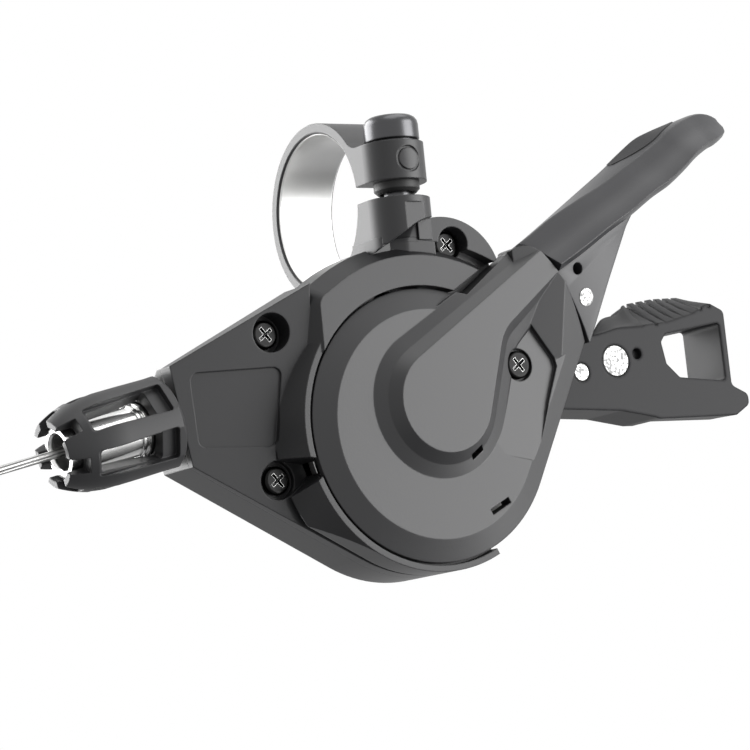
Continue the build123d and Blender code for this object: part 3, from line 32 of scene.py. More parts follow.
# Camera, as fitted to the photograph
CAM_RIGHT = Vector((0.850, -0.517, -0.098))
CAM_UP = Vector((0.020, -0.156, 0.988))
CAM_BACK = Vector((-0.526, -0.842, -0.122))
CAM_DISTANCE = 500 * MM
CAM_SHIFT_RIGHT = 4.47 * MM
CAM_SHIFT_UP = -23.9 * MM
CAM_FOCAL_PX = 3418.0
CAM_IMAGE_PX = 750.0
SENSOR_MM = 36.0
CLIP_NEAR = 0.01
CLIP_FAR = 10.0

# Light: the middle of the lit part, the world's grey, and the heights between which mirrors see it turn white
LOOK_AT = Vector((5 * MM, -8 * MM, -22 * MM))
WHITE = (1.0, 1.0, 1.0)
WORLD_GREY = (0.36, 0.36, 0.365)
DARK_BELOW = -0.75
WHITE_ABOVE = -0.15

# Axis of the lever and the drum
AXIS_X = 1.5
AXIS_Z = -33.8

# Cable and coil, as in the part: angles round the drum, shares of the free run, then the coil's rows of turns
CABLE_TILT = math.radians(13.0)
CABLE_Y = -5.9
CABLE_PITCH_R = 11.2
CABLE_R = 0.6
COIL_R = 10.8
COIL_X = -82.0
COIL_TURNS = 29
COIL_POINTS = 14
COIL_ROWS = (3, 4, 5, 6, 5, 4, 3)
COIL_LOOSE = 1.03
COIL_ROW_PITCH = 0.87
COIL_STEP_START = 0.7
DRUM_ANGLES = (54, 66, 78, 90, 103)
RUN_SHARES = (0.12, 0.3, 0.5, 0.7, 0.88)

# Blade of the main lever: its line, and for each station along it the places across it of the far edge,
# the ridge and the near edge, then the heights of the three
BLADE_X = 20.0
BLADE_Z = -8.0
BLADE_ANGLE = math.radians(33.9)
BLADE_THICK = 2.3
BLADE_ROWS = (
    (-7.0, 0.30, -1.40, 4.40, 11.5, 16.4, 19.5),
    (0.0, 0.33, -0.75, 4.85, 11.5, 16.7, 20.0),
    (6.0, 0.36, -0.60, 5.30, 11.5, 16.7, 20.0),
    (12.0, 0.30, 0.00, 5.50, 11.5, 16.7, 20.0),
    (17.0, 0.25, 0.62, 5.85, 11.5, 16.7, 20.0),
    (22.0, 0.20, 0.90, 5.93, 11.5, 16.7, 20.0),
    (26.0, 0.00, 1.13, 6.25, 11.5, 16.7, 20.0),
    (30.0, -0.10, 1.22, 6.10, 11.6, 16.7, 20.0),
    (33.0, 0.45, 1.10, 5.85, 11.9, 16.7, 19.9),
    (36.0, 1.20, 1.40, 6.05, 12.6, 16.5, 19.3),
    (38.5, 1.80, 2.00, 6.60, 13.1, 16.0, 18.4),
    (40.5, 2.40, 2.80, 7.00, 13.4, 15.6, 17.2),
    (42.2, 3.40, 4.10, 7.20, 13.7, 15.1, 16.0),
    (43.2, 4.70, 5.20, 6.70, 14.0, 14.6, 15.0),
)
BLADE_STEPS = 6
BLADE_ROUND = 0.35
TIP_SHARE = 0.45
TIP_FADE = 10.0
FACE_DIP = 0.07

# Section of the blade: the flank's middle off its chord, the hollow's places as shares of the face's width
# and of its dip, and the corners of the back as shares of the thickness
FLANK_OFF = (-0.08, 0.05)
FACE_HOLLOW = ((0.33, 1.0), (0.67, 0.8))
BACK_NEAR = (0.40, 0.75)
BACK_RIDGE = (1.0, 0.45)

# Soft pad in the far flank of the blade: its ends along the blade, and its share of the flank's width
PAD_START = 23.0
PAD_END = 37.0
PAD_SHARE = 0.80
PAD_INSET = 0.04
PAD_END_SHARE = 0.004
PAD_PROUD = 0.16
PAD_SUNK = 0.4

# Web of the main lever: its heights, its face's slope, its outline (x, z), its hole and rivet (x, z, radius)
WEB_LOW = 13.35
WEB_HIGH = 18.3
WEB_ACROSS = 4.5
WEB_SLOPE = 0.206
WEB_SPARE = 4
WEB_ROUND = 0.12
WEB_OUTLINE = (
    (39.1, -3.0), (37.5, -5.5), (34.1, -13.2), (30.3, -22.4), (22.0, -22.0), (15.0, -12.0), (16.0, -9.8),
)
WEB_TOP_ACROSS = 4.7
WEB_TOP_ENDS = (-4.0, 19.0)
WEB_HOLE = (27.9, -11.8, 0.85)
WEB_HOLE_FLOOR = 0.6
WEB_RIVET = (29.5, -15.9, 1.35)
RIVET_SUNK = -0.3
RIVET_PROUD = 0.12
RIVET_ROUND = 0.1

# Groove between the cover's arm and the lever: two arcs of three points each (x, z), and the room beyond them
GROOVE = (((16.4, -9.1), (18.9, -8.6), (21.4, -10.0)), ((21.4, -10.0), (25.7, -15.4), (29.4, -22.2)))
GROOVE_WIDTH = 0.5
GROOVE_LEAD_IN = (-6.0, -2.0)
GROOVE_LEAD_OUT = (1.0, -4.0)
GROOVE_FAR_SIDE = ((0.0, -40.0), (0.0, -10.0))
GROOVE_HEIGHTS = (5.0, 30.0)

# Scooped root of the release lever's pad: its front edge (x, z), then its back edge (x, height, z)
ROOT_ROWS = (
    (34.0, -20.55, 34.6, 10.0, -20.3),
    (36.9, -20.10, 37.5, 8.0, -18.2),
    (39.3, -19.50, 40.1, 6.0, -17.2),
    (41.5, -19.35, 44.0, 4.0, -16.3),
    (43.0, -19.30, 46.0, 2.6, -14.9),
    (44.2, -19.20, 47.2, 1.7, -14.6),
)
ROOT_STEPS = 5
ROOT_FRONT = 10.83
ROOT_DIPS = ((0.0, 0.0), (0.25, 0.3), (0.5, 0.42), (0.75, 0.3), (1.0, 0.0))
ROOT_BACK_THICK = 1.4
ROOT_FRONT_THICK = 1.2
ROOT_ROUND = 0.2

# Clamp bolt: radius and height of its profile, from its end to its head, and its hexagon socket
BOLT_Y = -14.7
BOLT_TOP = 10.9
BOLT_PROFILE = (
    (0.0, -4.4), (2.1, -4.4), (2.5, -4.0), (2.5, -1.5), (1.95, -1.35), (1.95, 0.2), (2.5, 0.3), (2.5, 6.8),
    (3.5, 6.8), (3.5, 7.1), (3.75, 7.1), (3.95, 7.3), (3.95, 9.4), (3.85, 9.95), (3.55, 10.4), (3.1, 10.7),
    (2.4, 10.85), (0.0, BOLT_TOP),
)
BOLT_HEX = 2.35
BOLT_HEX_DEPTH = 2.5

# Inside of the band, up to which it is bare metal
BARE_R = 11.25

# Crescent under the clamp, about the lever's axis, with its bevel, and the radius at which the casting ends
RIM_R = 25.6
RIM_BACK = 14.1
RIM_SLOPE = 0.66
RIM_PLATE_GAP = 0.15
FOOT_R = 24.3

# Foot of the lower ear: rings from FOOT_START on, the ear's round end and front, and its undercut
FOOT_START = -4.84
FOOT_STEP = 0.15
FOOT_RINGS = 22
FOOT_TOP = -6.9
FOOT_BACK = 9.0
FOOT_UNDERCUT = 15.0
FOOT_LIP = 0.35
FOOT_INSET = 0.1
EAR_ROUND_H = 14.3
EAR_ROUND_R = 4.85
EAR_FRONT = 16.27

# Plug of the bolt's bore: radius and height of its profile, and the two planes of the boss that trim it
PLUG_PROFILE = ((0.0, -7.3), (2.56, -7.3), (2.56, -4.5), (0.0, -4.5))
FLANK_PLANE = ((2.2, -15.15, -4.8), (0.7, -15.03, -7.3), (-3.2, -13.13, -8.0))
FACE_PLANE = ((6.3, -15.48, -4.8), (6.3, -15.48, -7.8), (0.0, -14.98, -7.0))

# Casting behind the screw boss: its left corner (x, z) and edge, then its flank and its face
BOSS_LEFT = (-3.2, -8.0)
BOSS_LEFT_RUN = 1.6875
BOSS_FLANK_H = 13.13
BOSS_FLANK_SLOPE = 0.487
BOSS_RIGHT_X = 6.3
BOSS_FACE_H = 15.48
BOSS_FACE_SLOPE = 0.08
BOSS_TOP_R = 27.1
BOSS_BACK = 10.5
BOSS_START = -4.75
BOSS_STEP = 0.2984
BOSS_RINGS = 34

# Meshes: the angles past which an edge is rounded or shaded sharp, and how near points are merged
ROUND_ANGLE = 30.0
SHARP_ANGLE = 28.0
MERGE_MM = 0.001


# Materials


def new_material(name):
    mat = bpy.data.materials.new(name)
    mat.use_nodes = True
    nodes = mat.node_tree.nodes
    shader = next(n for n in nodes if n.type == "BSDF_PRINCIPLED")
    return mat, nodes, mat.node_tree.links, shader


def plain(name, colour, roughness, metallic=0.0, specular=0.5, grain=0.0, scale=1500.0, edge=0.25):
    """A finish with softened edges and, where asked, a fine grain."""
    mat, nodes, links, shader = new_material(name)
    shader.inputs["Base Color"].default_value = (*colour, 1.0)
    shader.inputs["Roughness"].default_value = roughness
    shader.inputs["Metallic"].default_value = metallic
    shader.inputs["Specular IOR Level"].default_value = specular
    bevel = nodes.new("ShaderNodeBevel")
    bevel.samples = 6
    bevel.inputs["Radius"].default_value = edge * MM
    normal = bevel.outputs["Normal"]
    if grain:
        place = nodes.new("ShaderNodeTexCoord")
        noise = nodes.new("ShaderNodeTexNoise")
        noise.inputs["Scale"].default_value = scale
        noise.inputs["Detail"].default_value = 3.0
        noise.inputs["Roughness"].default_value = 0.6
        bump = nodes.new("ShaderNodeBump")
        bump.inputs["Strength"].default_value = grain
        bump.inputs["Distance"].default_value = 0.05 * MM
        links.new(place.outputs["Object"], noise.inputs["Vector"])
        links.new(noise.outputs["Fac"], bump.inputs["Height"])
        links.new(normal, bump.inputs["Normal"])
        normal = bump.outputs["Normal"]
    links.new(normal, shader.inputs["Normal"])
    return mat


def edge_mask(nodes, links, width, gain):
    """One along sharp edges and nought on flat faces."""
    bevel = nodes.new("ShaderNodeBevel")
    bevel.samples = 8
    bevel.inputs["Radius"].default_value = width * MM
    flat = nodes.new("ShaderNodeNewGeometry")
    dot = nodes.new("ShaderNodeVectorMath")
    dot.operation = "DOT_PRODUCT"
    links.new(bevel.outputs["Normal"], dot.inputs[0])
    links.new(flat.outputs["Normal"], dot.inputs[1])
    mask = nodes.new("ShaderNodeMapRange")
    mask.inputs["From Min"].default_value = 1.0
    mask.inputs["From Max"].default_value = 1.0 - 1.0 / gain
    links.new(dot.outputs["Value"], mask.inputs["Value"])
    return mask.outputs["Result"]


def mixed(nodes, links, mask, first, second, into):
    """Puts one colour where the mask is nought and the other where it is one."""
    mix = nodes.new("ShaderNodeMixRGB")
    mix.inputs["Color1"].default_value = (*first, 1.0)
    mix.inputs["Color2"].default_value = (*second, 1.0)
    links.new(mask, mix.inputs["Fac"])
    links.new(mix.outputs["Color"], into)


def edge_highlighted(name, colour, bright_metal, roughness, width=0.14, gain=6.0):
    """A dark fastener with a painted highlight: bright metal colour along its edges stands in for their
    shine.
    """
    mat = plain(name, colour, roughness, metallic=1.0, grain=0.1, scale=1800.0, edge=0.12)
    nodes = mat.node_tree.nodes
    links = mat.node_tree.links
    shader = next(n for n in nodes if n.type == "BSDF_PRINCIPLED")
    mask = edge_mask(nodes, links, width, gain)
    # Painted highlight: the edges are coloured bright metal where light would shine on them
    mixed(nodes, links, mask, colour, bright_metal, shader.inputs["Base Color"])
    return mat


def mottled(name, dark, light, roughness, scale):
    """Bare steel with a blotchy, worn surface."""
    mat = plain(name, light, roughness, metallic=1.0, grain=0.5, scale=scale, edge=0.1)
    nodes = mat.node_tree.nodes
    links = mat.node_tree.links
    shader = next(n for n in nodes if n.type == "BSDF_PRINCIPLED")
    place = nodes.new("ShaderNodeTexCoord")
    noise = nodes.new("ShaderNodeTexNoise")
    noise.inputs["Scale"].default_value = scale
    noise.inputs["Detail"].default_value = 4.0
    links.new(place.outputs["Object"], noise.inputs["Vector"])
    steps = nodes.new("ShaderNodeMapRange")
    steps.inputs["From Min"].default_value = 0.38
    steps.inputs["From Max"].default_value = 0.58
    links.new(noise.outputs["Fac"], steps.inputs["Value"])
    mixed(nodes, links, steps.outputs["Result"], dark, light, shader.inputs["Base Color"])
    rough = nodes.new("ShaderNodeMapRange")
    rough.inputs["To Min"].default_value = roughness + 0.2
    rough.inputs["To Max"].default_value = roughness - 0.05
    links.new(steps.outputs["Result"], rough.inputs["Value"])
    links.new(rough.outputs["Result"], shader.inputs["Roughness"])
    return mat


def bored(mat, radius, bright_metal, roughness):
    """Bare metal inside a radius about the handlebar's axis, on a painted casting."""
    nodes = mat.node_tree.nodes
    links = mat.node_tree.links
    shader = next(n for n in nodes if n.type == "BSDF_PRINCIPLED")
    painted = tuple(shader.inputs["Base Color"].default_value)[:3]
    place = nodes.new("ShaderNodeTexCoord")
    across = nodes.new("ShaderNodeVectorMath")
    across.operation = "MULTIPLY"
    across.inputs[1].default_value = (0.0, 1.0, 1.0)
    links.new(place.outputs["Object"], across.inputs[0])
    reach = nodes.new("ShaderNodeVectorMath")
    reach.operation = "LENGTH"
    links.new(across.outputs["Vector"], reach.inputs[0])
    inside = nodes.new("ShaderNodeMath")
    inside.operation = "LESS_THAN"
    inside.inputs[1].default_value = radius * MM
    links.new(reach.outputs["Value"], inside.inputs[0])
    mixed(nodes, links, inside.outputs["Value"], painted, bright_metal, shader.inputs["Base Color"])
    links.new(inside.outputs["Value"], shader.inputs["Metallic"])
    rough = nodes.new("ShaderNodeMapRange")
    rough.inputs["To Min"].default_value = shader.inputs["Roughness"].default_value
    rough.inputs["To Max"].default_value = roughness
    links.new(inside.outputs["Value"], rough.inputs["Value"])
    links.new(rough.outputs["Result"], shader.inputs["Roughness"])
    return mat


def stranded(name, dark, light, roughness, turns, strands):
    """Twisted wire: stripes wound round the cable, along its own length."""
    mat, nodes, links, shader = new_material(name)
    shader.inputs["Metallic"].default_value = 1.0
    shader.inputs["Roughness"].default_value = roughness
    place = nodes.new("ShaderNodeTexCoord")
    apart = nodes.new("ShaderNodeSeparateXYZ")
    links.new(place.outputs["UV"], apart.inputs["Vector"])
    along = nodes.new("ShaderNodeMath")
    along.operation = "MULTIPLY"
    along.inputs[1].default_value = turns * 2 * math.pi
    links.new(apart.outputs["X"], along.inputs[0])
    around = nodes.new("ShaderNodeMath")
    around.operation = "MULTIPLY_ADD"
    around.inputs[1].default_value = strands * 2 * math.pi
    links.new(apart.outputs["Y"], around.inputs[0])
    links.new(along.outputs["Value"], around.inputs[2])
    wave = nodes.new("ShaderNodeMath")
    wave.operation = "SINE"
    links.new(around.outputs["Value"], wave.inputs[0])
    height = nodes.new("ShaderNodeMapRange")
    height.inputs["From Min"].default_value = -1.0
    links.new(wave.outputs["Value"], height.inputs["Value"])
    mixed(nodes, links, height.outputs["Result"], dark, light, shader.inputs["Base Color"])
    bump = nodes.new("ShaderNodeBump")
    bump.inputs["Strength"].default_value = 0.9
    bump.inputs["Distance"].default_value = 0.12 * MM
    links.new(height.outputs["Result"], bump.inputs["Height"])
    links.new(bump.outputs["Normal"], shader.inputs["Normal"])
    return mat


def dress(materials):
    """Gives each CAD node that stays in view its finish."""
    for name, finish in materials.items():
        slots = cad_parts[name].data.materials
        slots.clear()
        slots.append(finish)


# Cable


def cable_points():
    """Control points of the cable: the groove of the drum, the straight run and the coil's turns."""
    points = []
    for angle in DRUM_ANGLES:
        turn = math.radians(angle)
        x = AXIS_X + CABLE_PITCH_R * math.cos(turn)
        z = AXIS_Z + CABLE_PITCH_R * math.sin(turn)
        points.append((x, CABLE_Y, z))
    start = points[-1]
    out = Vector((-math.cos(CABLE_TILT), 0, -math.sin(CABLE_TILT)))
    reach = (start[0] - COIL_X) / math.cos(CABLE_TILT)
    for share in RUN_SHARES:
        points.append(tuple(Vector(start) + out * (reach * share)))
    foot = Vector(start) + out * reach
    centre = foot + Vector((math.sin(CABLE_TILT), 0, -math.cos(CABLE_TILT))) * COIL_R
    first = 90.0 + math.degrees(CABLE_TILT)
    places = coil_places()
    steps = COIL_TURNS * COIL_POINTS
    for step in range(steps + 1):
        turn, share = divmod(step / COIL_POINTS, 1.0)
        here = places[int(turn)]
        there = places[min(int(turn) + 1, len(places) - 1)]
        blend = max(0.0, (share - COIL_STEP_START) / (1.0 - COIL_STEP_START))
        radius = COIL_R + here[0] + (there[0] - here[0]) * blend
        side = here[1] + (there[1] - here[1]) * blend
        angle = math.radians(first + 360.0 * step / COIL_POINTS)
        x = centre.x + radius * math.cos(angle)
        z = centre.z + radius * math.sin(angle)
        points.append((x, CABLE_Y + side, z))
    return [Vector(p) * MM for p in points]


def coil_places():
    """Where each turn lies in the bundle, as an offset from its centreline, row by row."""
    pitch = 2 * CABLE_R * COIL_LOOSE
    places = []
    for row, count in enumerate(COIL_ROWS):
        out = (row - (len(COIL_ROWS) - 1) / 2) * pitch * COIL_ROW_PITCH
        line = [(out, (i - (count - 1) / 2) * pitch) for i in range(count)]
        if row % 2:
            line.reverse()
        places.extend(line)
    middle = min(range(len(places)), key=lambda i: abs(places[i][0]) + abs(places[i][1]))
    return places[middle:] + places[:middle]


def make_cable(finish):
    data = bpy.data.curves.new("shift_cable_strand", "CURVE")
    data.dimensions = "3D"
    points = cable_points()
    spline = data.splines.new("NURBS")
    spline.points.add(len(points) - 1)
    for place, point in zip(spline.points, points):
        place.co = (*point, 1.0)
    spline.order_u = 3
    spline.use_endpoint_u = True
    spline.resolution_u = 3
    data.bevel_depth = CABLE_R * MM
    data.bevel_resolution = 2
    data.use_fill_caps = True
    data.materials.append(finish)
    obj = bpy.data.objects.new("cable_line", data)
    bpy.context.scene.collection.objects.link(obj)
    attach(obj, "housing")
    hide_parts("shift_cable", "cable_coil")


# Mesh pieces


def prism(name, outline, low, high):
    """A flat outline in the plane of the cover, raised from one height to another."""
    shape = bmesh.new()
    face = shape.faces.new([shape.verts.new((x * MM, -low * MM, z * MM)) for x, z in outline])
    for part in bmesh.ops.extrude_face_region(shape, geom=[face])["geom"]:
        if isinstance(part, bmesh.types.BMVert):
            part.co.y = -high * MM
    return finished(name, shape)


def skin(name, rings):
    """A closed shell through rings of points, with flat ends."""
    shape = bmesh.new()
    rows = [[shape.verts.new([value * MM for value in point]) for point in ring] for ring in rings]
    count = len(rows[0])
    for first, second in zip(rows, rows[1:]):
        for i in range(count):
            j = (i + 1) % count
            shape.faces.new((first[i], first[j], second[j], second[i]))
    shape.faces.new(rows[0])
    shape.faces.new(rows[-1])
    return finished(name, shape)


def lathe(name, profile, x, y, steps=64):
    """A profile of radius and height turned about an axis along Z."""
    shape = bmesh.new()
    verts = [shape.verts.new(((x + radius) * MM, y * MM, z * MM)) for radius, z in profile]
    edges = [shape.edges.new(pair) for pair in zip(verts, verts[1:])]
    bmesh.ops.spin(
        shape, geom=verts + edges, cent=(x * MM, y * MM, 0), axis=(0, 0, 1), angle=2 * math.pi, steps=steps
    )
    bmesh.ops.remove_doubles(shape, verts=shape.verts, dist=MERGE_MM * MM)
    return finished(name, shape)


def finished(name, shape):
    """Turns a bmesh into an object, with its faces outward."""
    bmesh.ops.recalc_face_normals(shape, faces=shape.faces)
    data = bpy.data.meshes.new(name)
    shape.to_mesh(data)
    shape.free()
    obj = bpy.data.objects.new(name, data)
    bpy.context.scene.collection.objects.link(obj)
    return obj


def settle(obj):
    """Makes a piece's modifiers part of its mesh."""
    graph = bpy.context.evaluated_depsgraph_get()
    shape = bpy.data.meshes.new_from_object(obj.evaluated_get(graph))
    old = obj.data
    obj.modifiers.clear()
    obj.data = shape
    bpy.data.meshes.remove(old)


def rounded(obj, width, segments=3):
    """Rounds a piece's sharp edges."""
    change = obj.modifiers.new("round", "BEVEL")
    change.width = width * MM
    change.segments = segments
    change.limit_method = "ANGLE"
    change.angle_limit = math.radians(ROUND_ANGLE)
    change.use_clamp_overlap = True
    settle(obj)


def cut(obj, tool):
    """Takes a tool's room off a piece."""
    change = obj.modifiers.new("cut", "BOOLEAN")
    change.operation = "DIFFERENCE"
    change.solver = "EXACT"
    change.object = tool
    settle(obj)
    bpy.data.objects.remove(tool)


def joined(name, parts, finish, body="housing", stands_for=()):
    """One piece of several shells, smooth where its faces are nearly level with each other."""
    shape = bmesh.new()
    for part in parts:
        shape.from_mesh(part.data)
        bpy.data.objects.remove(part)
    data = bpy.data.meshes.new(name)
    shape.to_mesh(data)
    shape.free()
    data.polygons.foreach_set("use_smooth", [True] * len(data.polygons))
    data.set_sharp_from_angle(angle=math.radians(SHARP_ANGLE))
    data.materials.append(finish)
    obj = bpy.data.objects.new(name, data)
    bpy.context.scene.collection.objects.link(obj)
    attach(obj, body)
    if stands_for:
        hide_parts(*stands_for)


def trimmed(obj, first, second, third):
    """Takes off what lies towards the cover's side of the plane through three points."""
    corners = [Vector(corner) * MM for corner in (first, second, third)]
    normal = (corners[1] - corners[0]).cross(corners[2] - corners[0]).normalized()
    if normal.y > 0:
        normal.negate()
    shape = bmesh.new()
    shape.from_mesh(obj.data)
    geom = list(shape.verts) + list(shape.edges) + list(shape.faces)
    bmesh.ops.bisect_plane(shape, geom=geom, plane_co=corners[0], plane_no=normal, clear_outer=True)
    bmesh.ops.holes_fill(shape, edges=[edge for edge in shape.edges if edge.is_boundary])
    bmesh.ops.recalc_face_normals(shape, faces=shape.faces)
    shape.to_mesh(obj.data)
    shape.free()


def circle(x, z, radius, steps=48):
    """Points round a circle in the plane of the cover."""
    angles = [2 * math.pi * i / steps for i in range(steps)]
    return [(x + radius * math.cos(angle), z + radius * math.sin(angle)) for angle in angles]


def arc(start, middle, end, steps=16):
    """Points on the circle through three points, from the first to the last."""
    (ax, ay), (bx, by), (cx, cy) = start, middle, end
    d = 2 * (ax * (by - cy) + bx * (cy - ay) + cx * (ay - by))
    a, b, c = ax * ax + ay * ay, bx * bx + by * by, cx * cx + cy * cy
    ux = (a * (by - cy) + b * (cy - ay) + c * (ay - by)) / d
    uy = (a * (cx - bx) + b * (ax - cx) + c * (bx - ax)) / d
    first = math.atan2(ay - uy, ax - ux)
    last = math.atan2(cy - uy, cx - ux)
    radius = math.hypot(ax - ux, ay - uy)
    turn = (last - first + math.pi) % (2 * math.pi) - math.pi
    angles = [first + turn * i / steps for i in range(steps + 1)]
    return [(ux + radius * math.cos(angle), uy + radius * math.sin(angle)) for angle in angles]


# Main lever


def groove_tool():
    """Room on the cover's side of the groove between the cover's arm and the lever."""
    line = arc(*GROOVE[0]) + arc(*GROOVE[1])[1:]
    moved = []
    for i, point in enumerate(line):
        before = line[max(i - 1, 0)]
        after = line[min(i + 1, len(line) - 1)]
        along = Vector((after[0] - before[0], after[1] - before[1])).normalized()
        moved.append((point[0] - along.y * GROOVE_WIDTH, point[1] + along.x * GROOVE_WIDTH))
    lead_in = (moved[0][0] + GROOVE_LEAD_IN[0], moved[0][1] + GROOVE_LEAD_IN[1])
    lead_out = (moved[-1][0] + GROOVE_LEAD_OUT[0], moved[-1][1] + GROOVE_LEAD_OUT[1])
    return prism("groove_tool", [lead_in, *moved, lead_out, *GROOVE_FAR_SIDE], *GROOVE_HEIGHTS)


def smooth_value(a, b, c, d, t):
    """A value between b and c on the smooth curve through a, b, c and d."""
    second = (2 * a - 5 * b + 4 * c - d) * t**2
    third = (3 * b - a - 3 * c + d) * t**3
    return 0.5 * (2 * b + (c - a) * t + second + third)


def smooth_rows(rows, steps):
    """Rows of numbers with more rows between them, on a smooth curve through all of them."""
    out = []
    for i in range(len(rows) - 1):
        near = (rows[max(i - 1, 0)], rows[i], rows[i + 1], rows[min(i + 2, len(rows) - 1)])
        for step in range(steps):
            out.append(tuple(smooth_value(*values, step / steps) for values in zip(*near)))
    out.append(rows[-1])
    return out


def blade_place(along, across, height):
    """A point of the blade, from its places along and across the blade's line and its height."""
    x = BLADE_X + along * math.cos(BLADE_ANGLE) + across * math.sin(BLADE_ANGLE)
    z = BLADE_Z + along * math.sin(BLADE_ANGLE) - across * math.cos(BLADE_ANGLE)
    return (x, -height, z)


def blade_ring(row):
    """One section of the blade: flank, ridge, a slightly hollow face, rim and back."""
    along, far, ridge, near, far_h, ridge_h, near_h = row
    width = near - ridge
    thick = BLADE_THICK * min(1.0, TIP_SHARE + (BLADE_ROWS[-1][0] - along) / TIP_FADE)
    dip = FACE_DIP * width
    fall = near_h - ridge_h
    points = [
        (far, far_h),
        ((far + ridge) / 2 + FLANK_OFF[0], (far_h + ridge_h) / 2 + FLANK_OFF[1]),
        (ridge, ridge_h),
        *((ridge + width * share, ridge_h + fall * share - dip * depth) for share, depth in FACE_HOLLOW),
        (near, near_h),
        (near + thick * BACK_NEAR[0], near_h - thick * BACK_NEAR[1]),
        (ridge + thick * BACK_RIDGE[0], ridge_h - thick * BACK_RIDGE[1]),
        (far + thick, far_h),
    ]
    return [blade_place(along, across, height) for across, height in points]


def thumb_pad(rows, finish):
    """The soft pad let into the far flank of the blade."""
    rings = []
    for row in rows:
        along, far, ridge, _, far_h, ridge_h, _ = row
        if not PAD_START <= along <= PAD_END:
            continue
        share = (along - PAD_START) / (PAD_END - PAD_START)
        width = PAD_SHARE * math.sqrt(max(math.sin(math.pi * share), PAD_END_SHARE))
        d = Vector((ridge - far, ridge_h - far_h))
        out = Vector((-d.y, d.x)).normalized()
        low = Vector((far, far_h)) + d * PAD_INSET
        high = Vector((far, far_h)) + d * (PAD_INSET + width)
        corners = (low + out * PAD_PROUD, high + out * PAD_PROUD, high - out * PAD_SUNK, low - out * PAD_SUNK)
        rings.append([blade_place(along, *corner) for corner in corners])
    pad = skin("pad_shell", rings)
    joined("thumb_pad", [pad], finish, "main_lever")


def main_lever(finish, steel_finish, pad_finish):
    """Blade and web of the main lever, with the dark groove between them and the cover."""
    rows = smooth_rows(BLADE_ROWS, BLADE_STEPS)
    blade = skin("blade_shell", [blade_ring(row) for row in rows])
    rounded(blade, BLADE_ROUND)
    cut(blade, groove_tool())
    top = [blade_place(along, WEB_TOP_ACROSS, 0) for along in WEB_TOP_ENDS]
    outline = list(WEB_OUTLINE) + [(x, z) for x, _, z in top]
    web = prism("web_shell", outline, WEB_LOW, WEB_HIGH + WEB_SPARE)
    run = 10
    trimmed(
        web,
        blade_place(0, WEB_ACROSS, WEB_HIGH),
        blade_place(run, WEB_ACROSS, WEB_HIGH),
        blade_place(0, WEB_ACROSS + run, WEB_HIGH - run * WEB_SLOPE),
    )
    cut(web, groove_tool())
    cut(web, prism("hole_tool", circle(*WEB_HOLE), WEB_LOW + WEB_HOLE_FLOOR, WEB_HIGH + WEB_SPARE))
    rounded(web, WEB_ROUND, 2)
    joined("thumb_lever", [blade, web], finish, "main_lever", ["main_lever"])
    thumb_pad(rows, pad_finish)
    lever_rivet(steel_finish)


def lever_rivet(finish):
    """Head of the rivet, flat on the web's slope."""
    x, z, radius = WEB_RIVET
    across = (x - BLADE_X) * math.sin(BLADE_ANGLE) - (z - BLADE_Z) * math.cos(BLADE_ANGLE)
    height = WEB_HIGH - (across - WEB_ACROSS) * WEB_SLOPE
    head = prism("rivet_shell", circle(0, 0, radius), RIVET_SUNK, RIVET_PROUD)
    tilt = Matrix.Rotation(math.atan(WEB_SLOPE), 4, Vector((math.cos(BLADE_ANGLE), 0, math.sin(BLADE_ANGLE))))
    head.data.transform(Matrix.Translation(Vector((x, -height, z)) * MM) @ tilt)
    rounded(head, RIVET_ROUND, 2)
    joined("thumb_lever_rivet", [head], finish, "main_lever", ["main_lever_rivet"])


# Release lever


def pad_root(finish):
    """The scoop by which the release lever's web rises into its pad."""
    rings = []
    for front_x, front_z, back_x, back_h, back_z in smooth_rows(ROOT_ROWS, ROOT_STEPS):
        front = Vector((front_x, -ROOT_FRONT, front_z))
        back = Vector((back_x, -back_h, back_z))
        ring = [front.lerp(back, share) - Vector((0, 0, dip)) for share, dip in ROOT_DIPS]
        ring += [back - Vector((0, 0, ROOT_BACK_THICK)), front - Vector((0, 0, ROOT_FRONT_THICK))]
        rings.append(ring)
    root = skin("root_shell", rings)
    rounded(root, ROOT_ROUND, 2)
    joined("pad_root", [root], finish, "release_lever")


# Clamp


def clamp_bolt(finish):
    """Round-headed bolt with a hexagon socket."""
    body = lathe("bolt_shell", BOLT_PROFILE, 0.0, BOLT_Y)
    shape = bmesh.new()
    radius = BOLT_HEX * MM
    depth = 2 * BOLT_HEX_DEPTH * MM
    bmesh.ops.create_cone(shape, cap_ends=True, segments=6, radius1=radius, radius2=radius, depth=depth)
    bmesh.ops.translate(shape, verts=shape.verts, vec=(0, BOLT_Y * MM, BOLT_TOP * MM))
    cut(body, finished("hex_tool", shape))
    joined("clamp_bolt_turned", [body], finish, "housing", ["clamp_bolt"])


def rim_height(x, radius):
    """The height of a circle about the lever's axis at one place along the handlebar."""
    return AXIS_Z + math.sqrt(radius**2 - (x - AXIS_X) ** 2)


def underside(x, front, back):
    """The underside of the casting at one place: on the crescent's bevel in front, and behind its plate."""
    if front > RIM_BACK:
        bevel_r = RIM_R - RIM_SLOPE * (front - RIM_BACK)
        places = ((front, bevel_r), (RIM_BACK, RIM_R), (RIM_BACK - RIM_PLATE_GAP, FOOT_R))
    else:
        places = ((front, FOOT_R), (front - FOOT_INSET / 2, FOOT_R), (front - FOOT_INSET, FOOT_R))
    return [(x, -depth, rim_height(x, radius)) for depth, radius in (*places, (back, FOOT_R))]


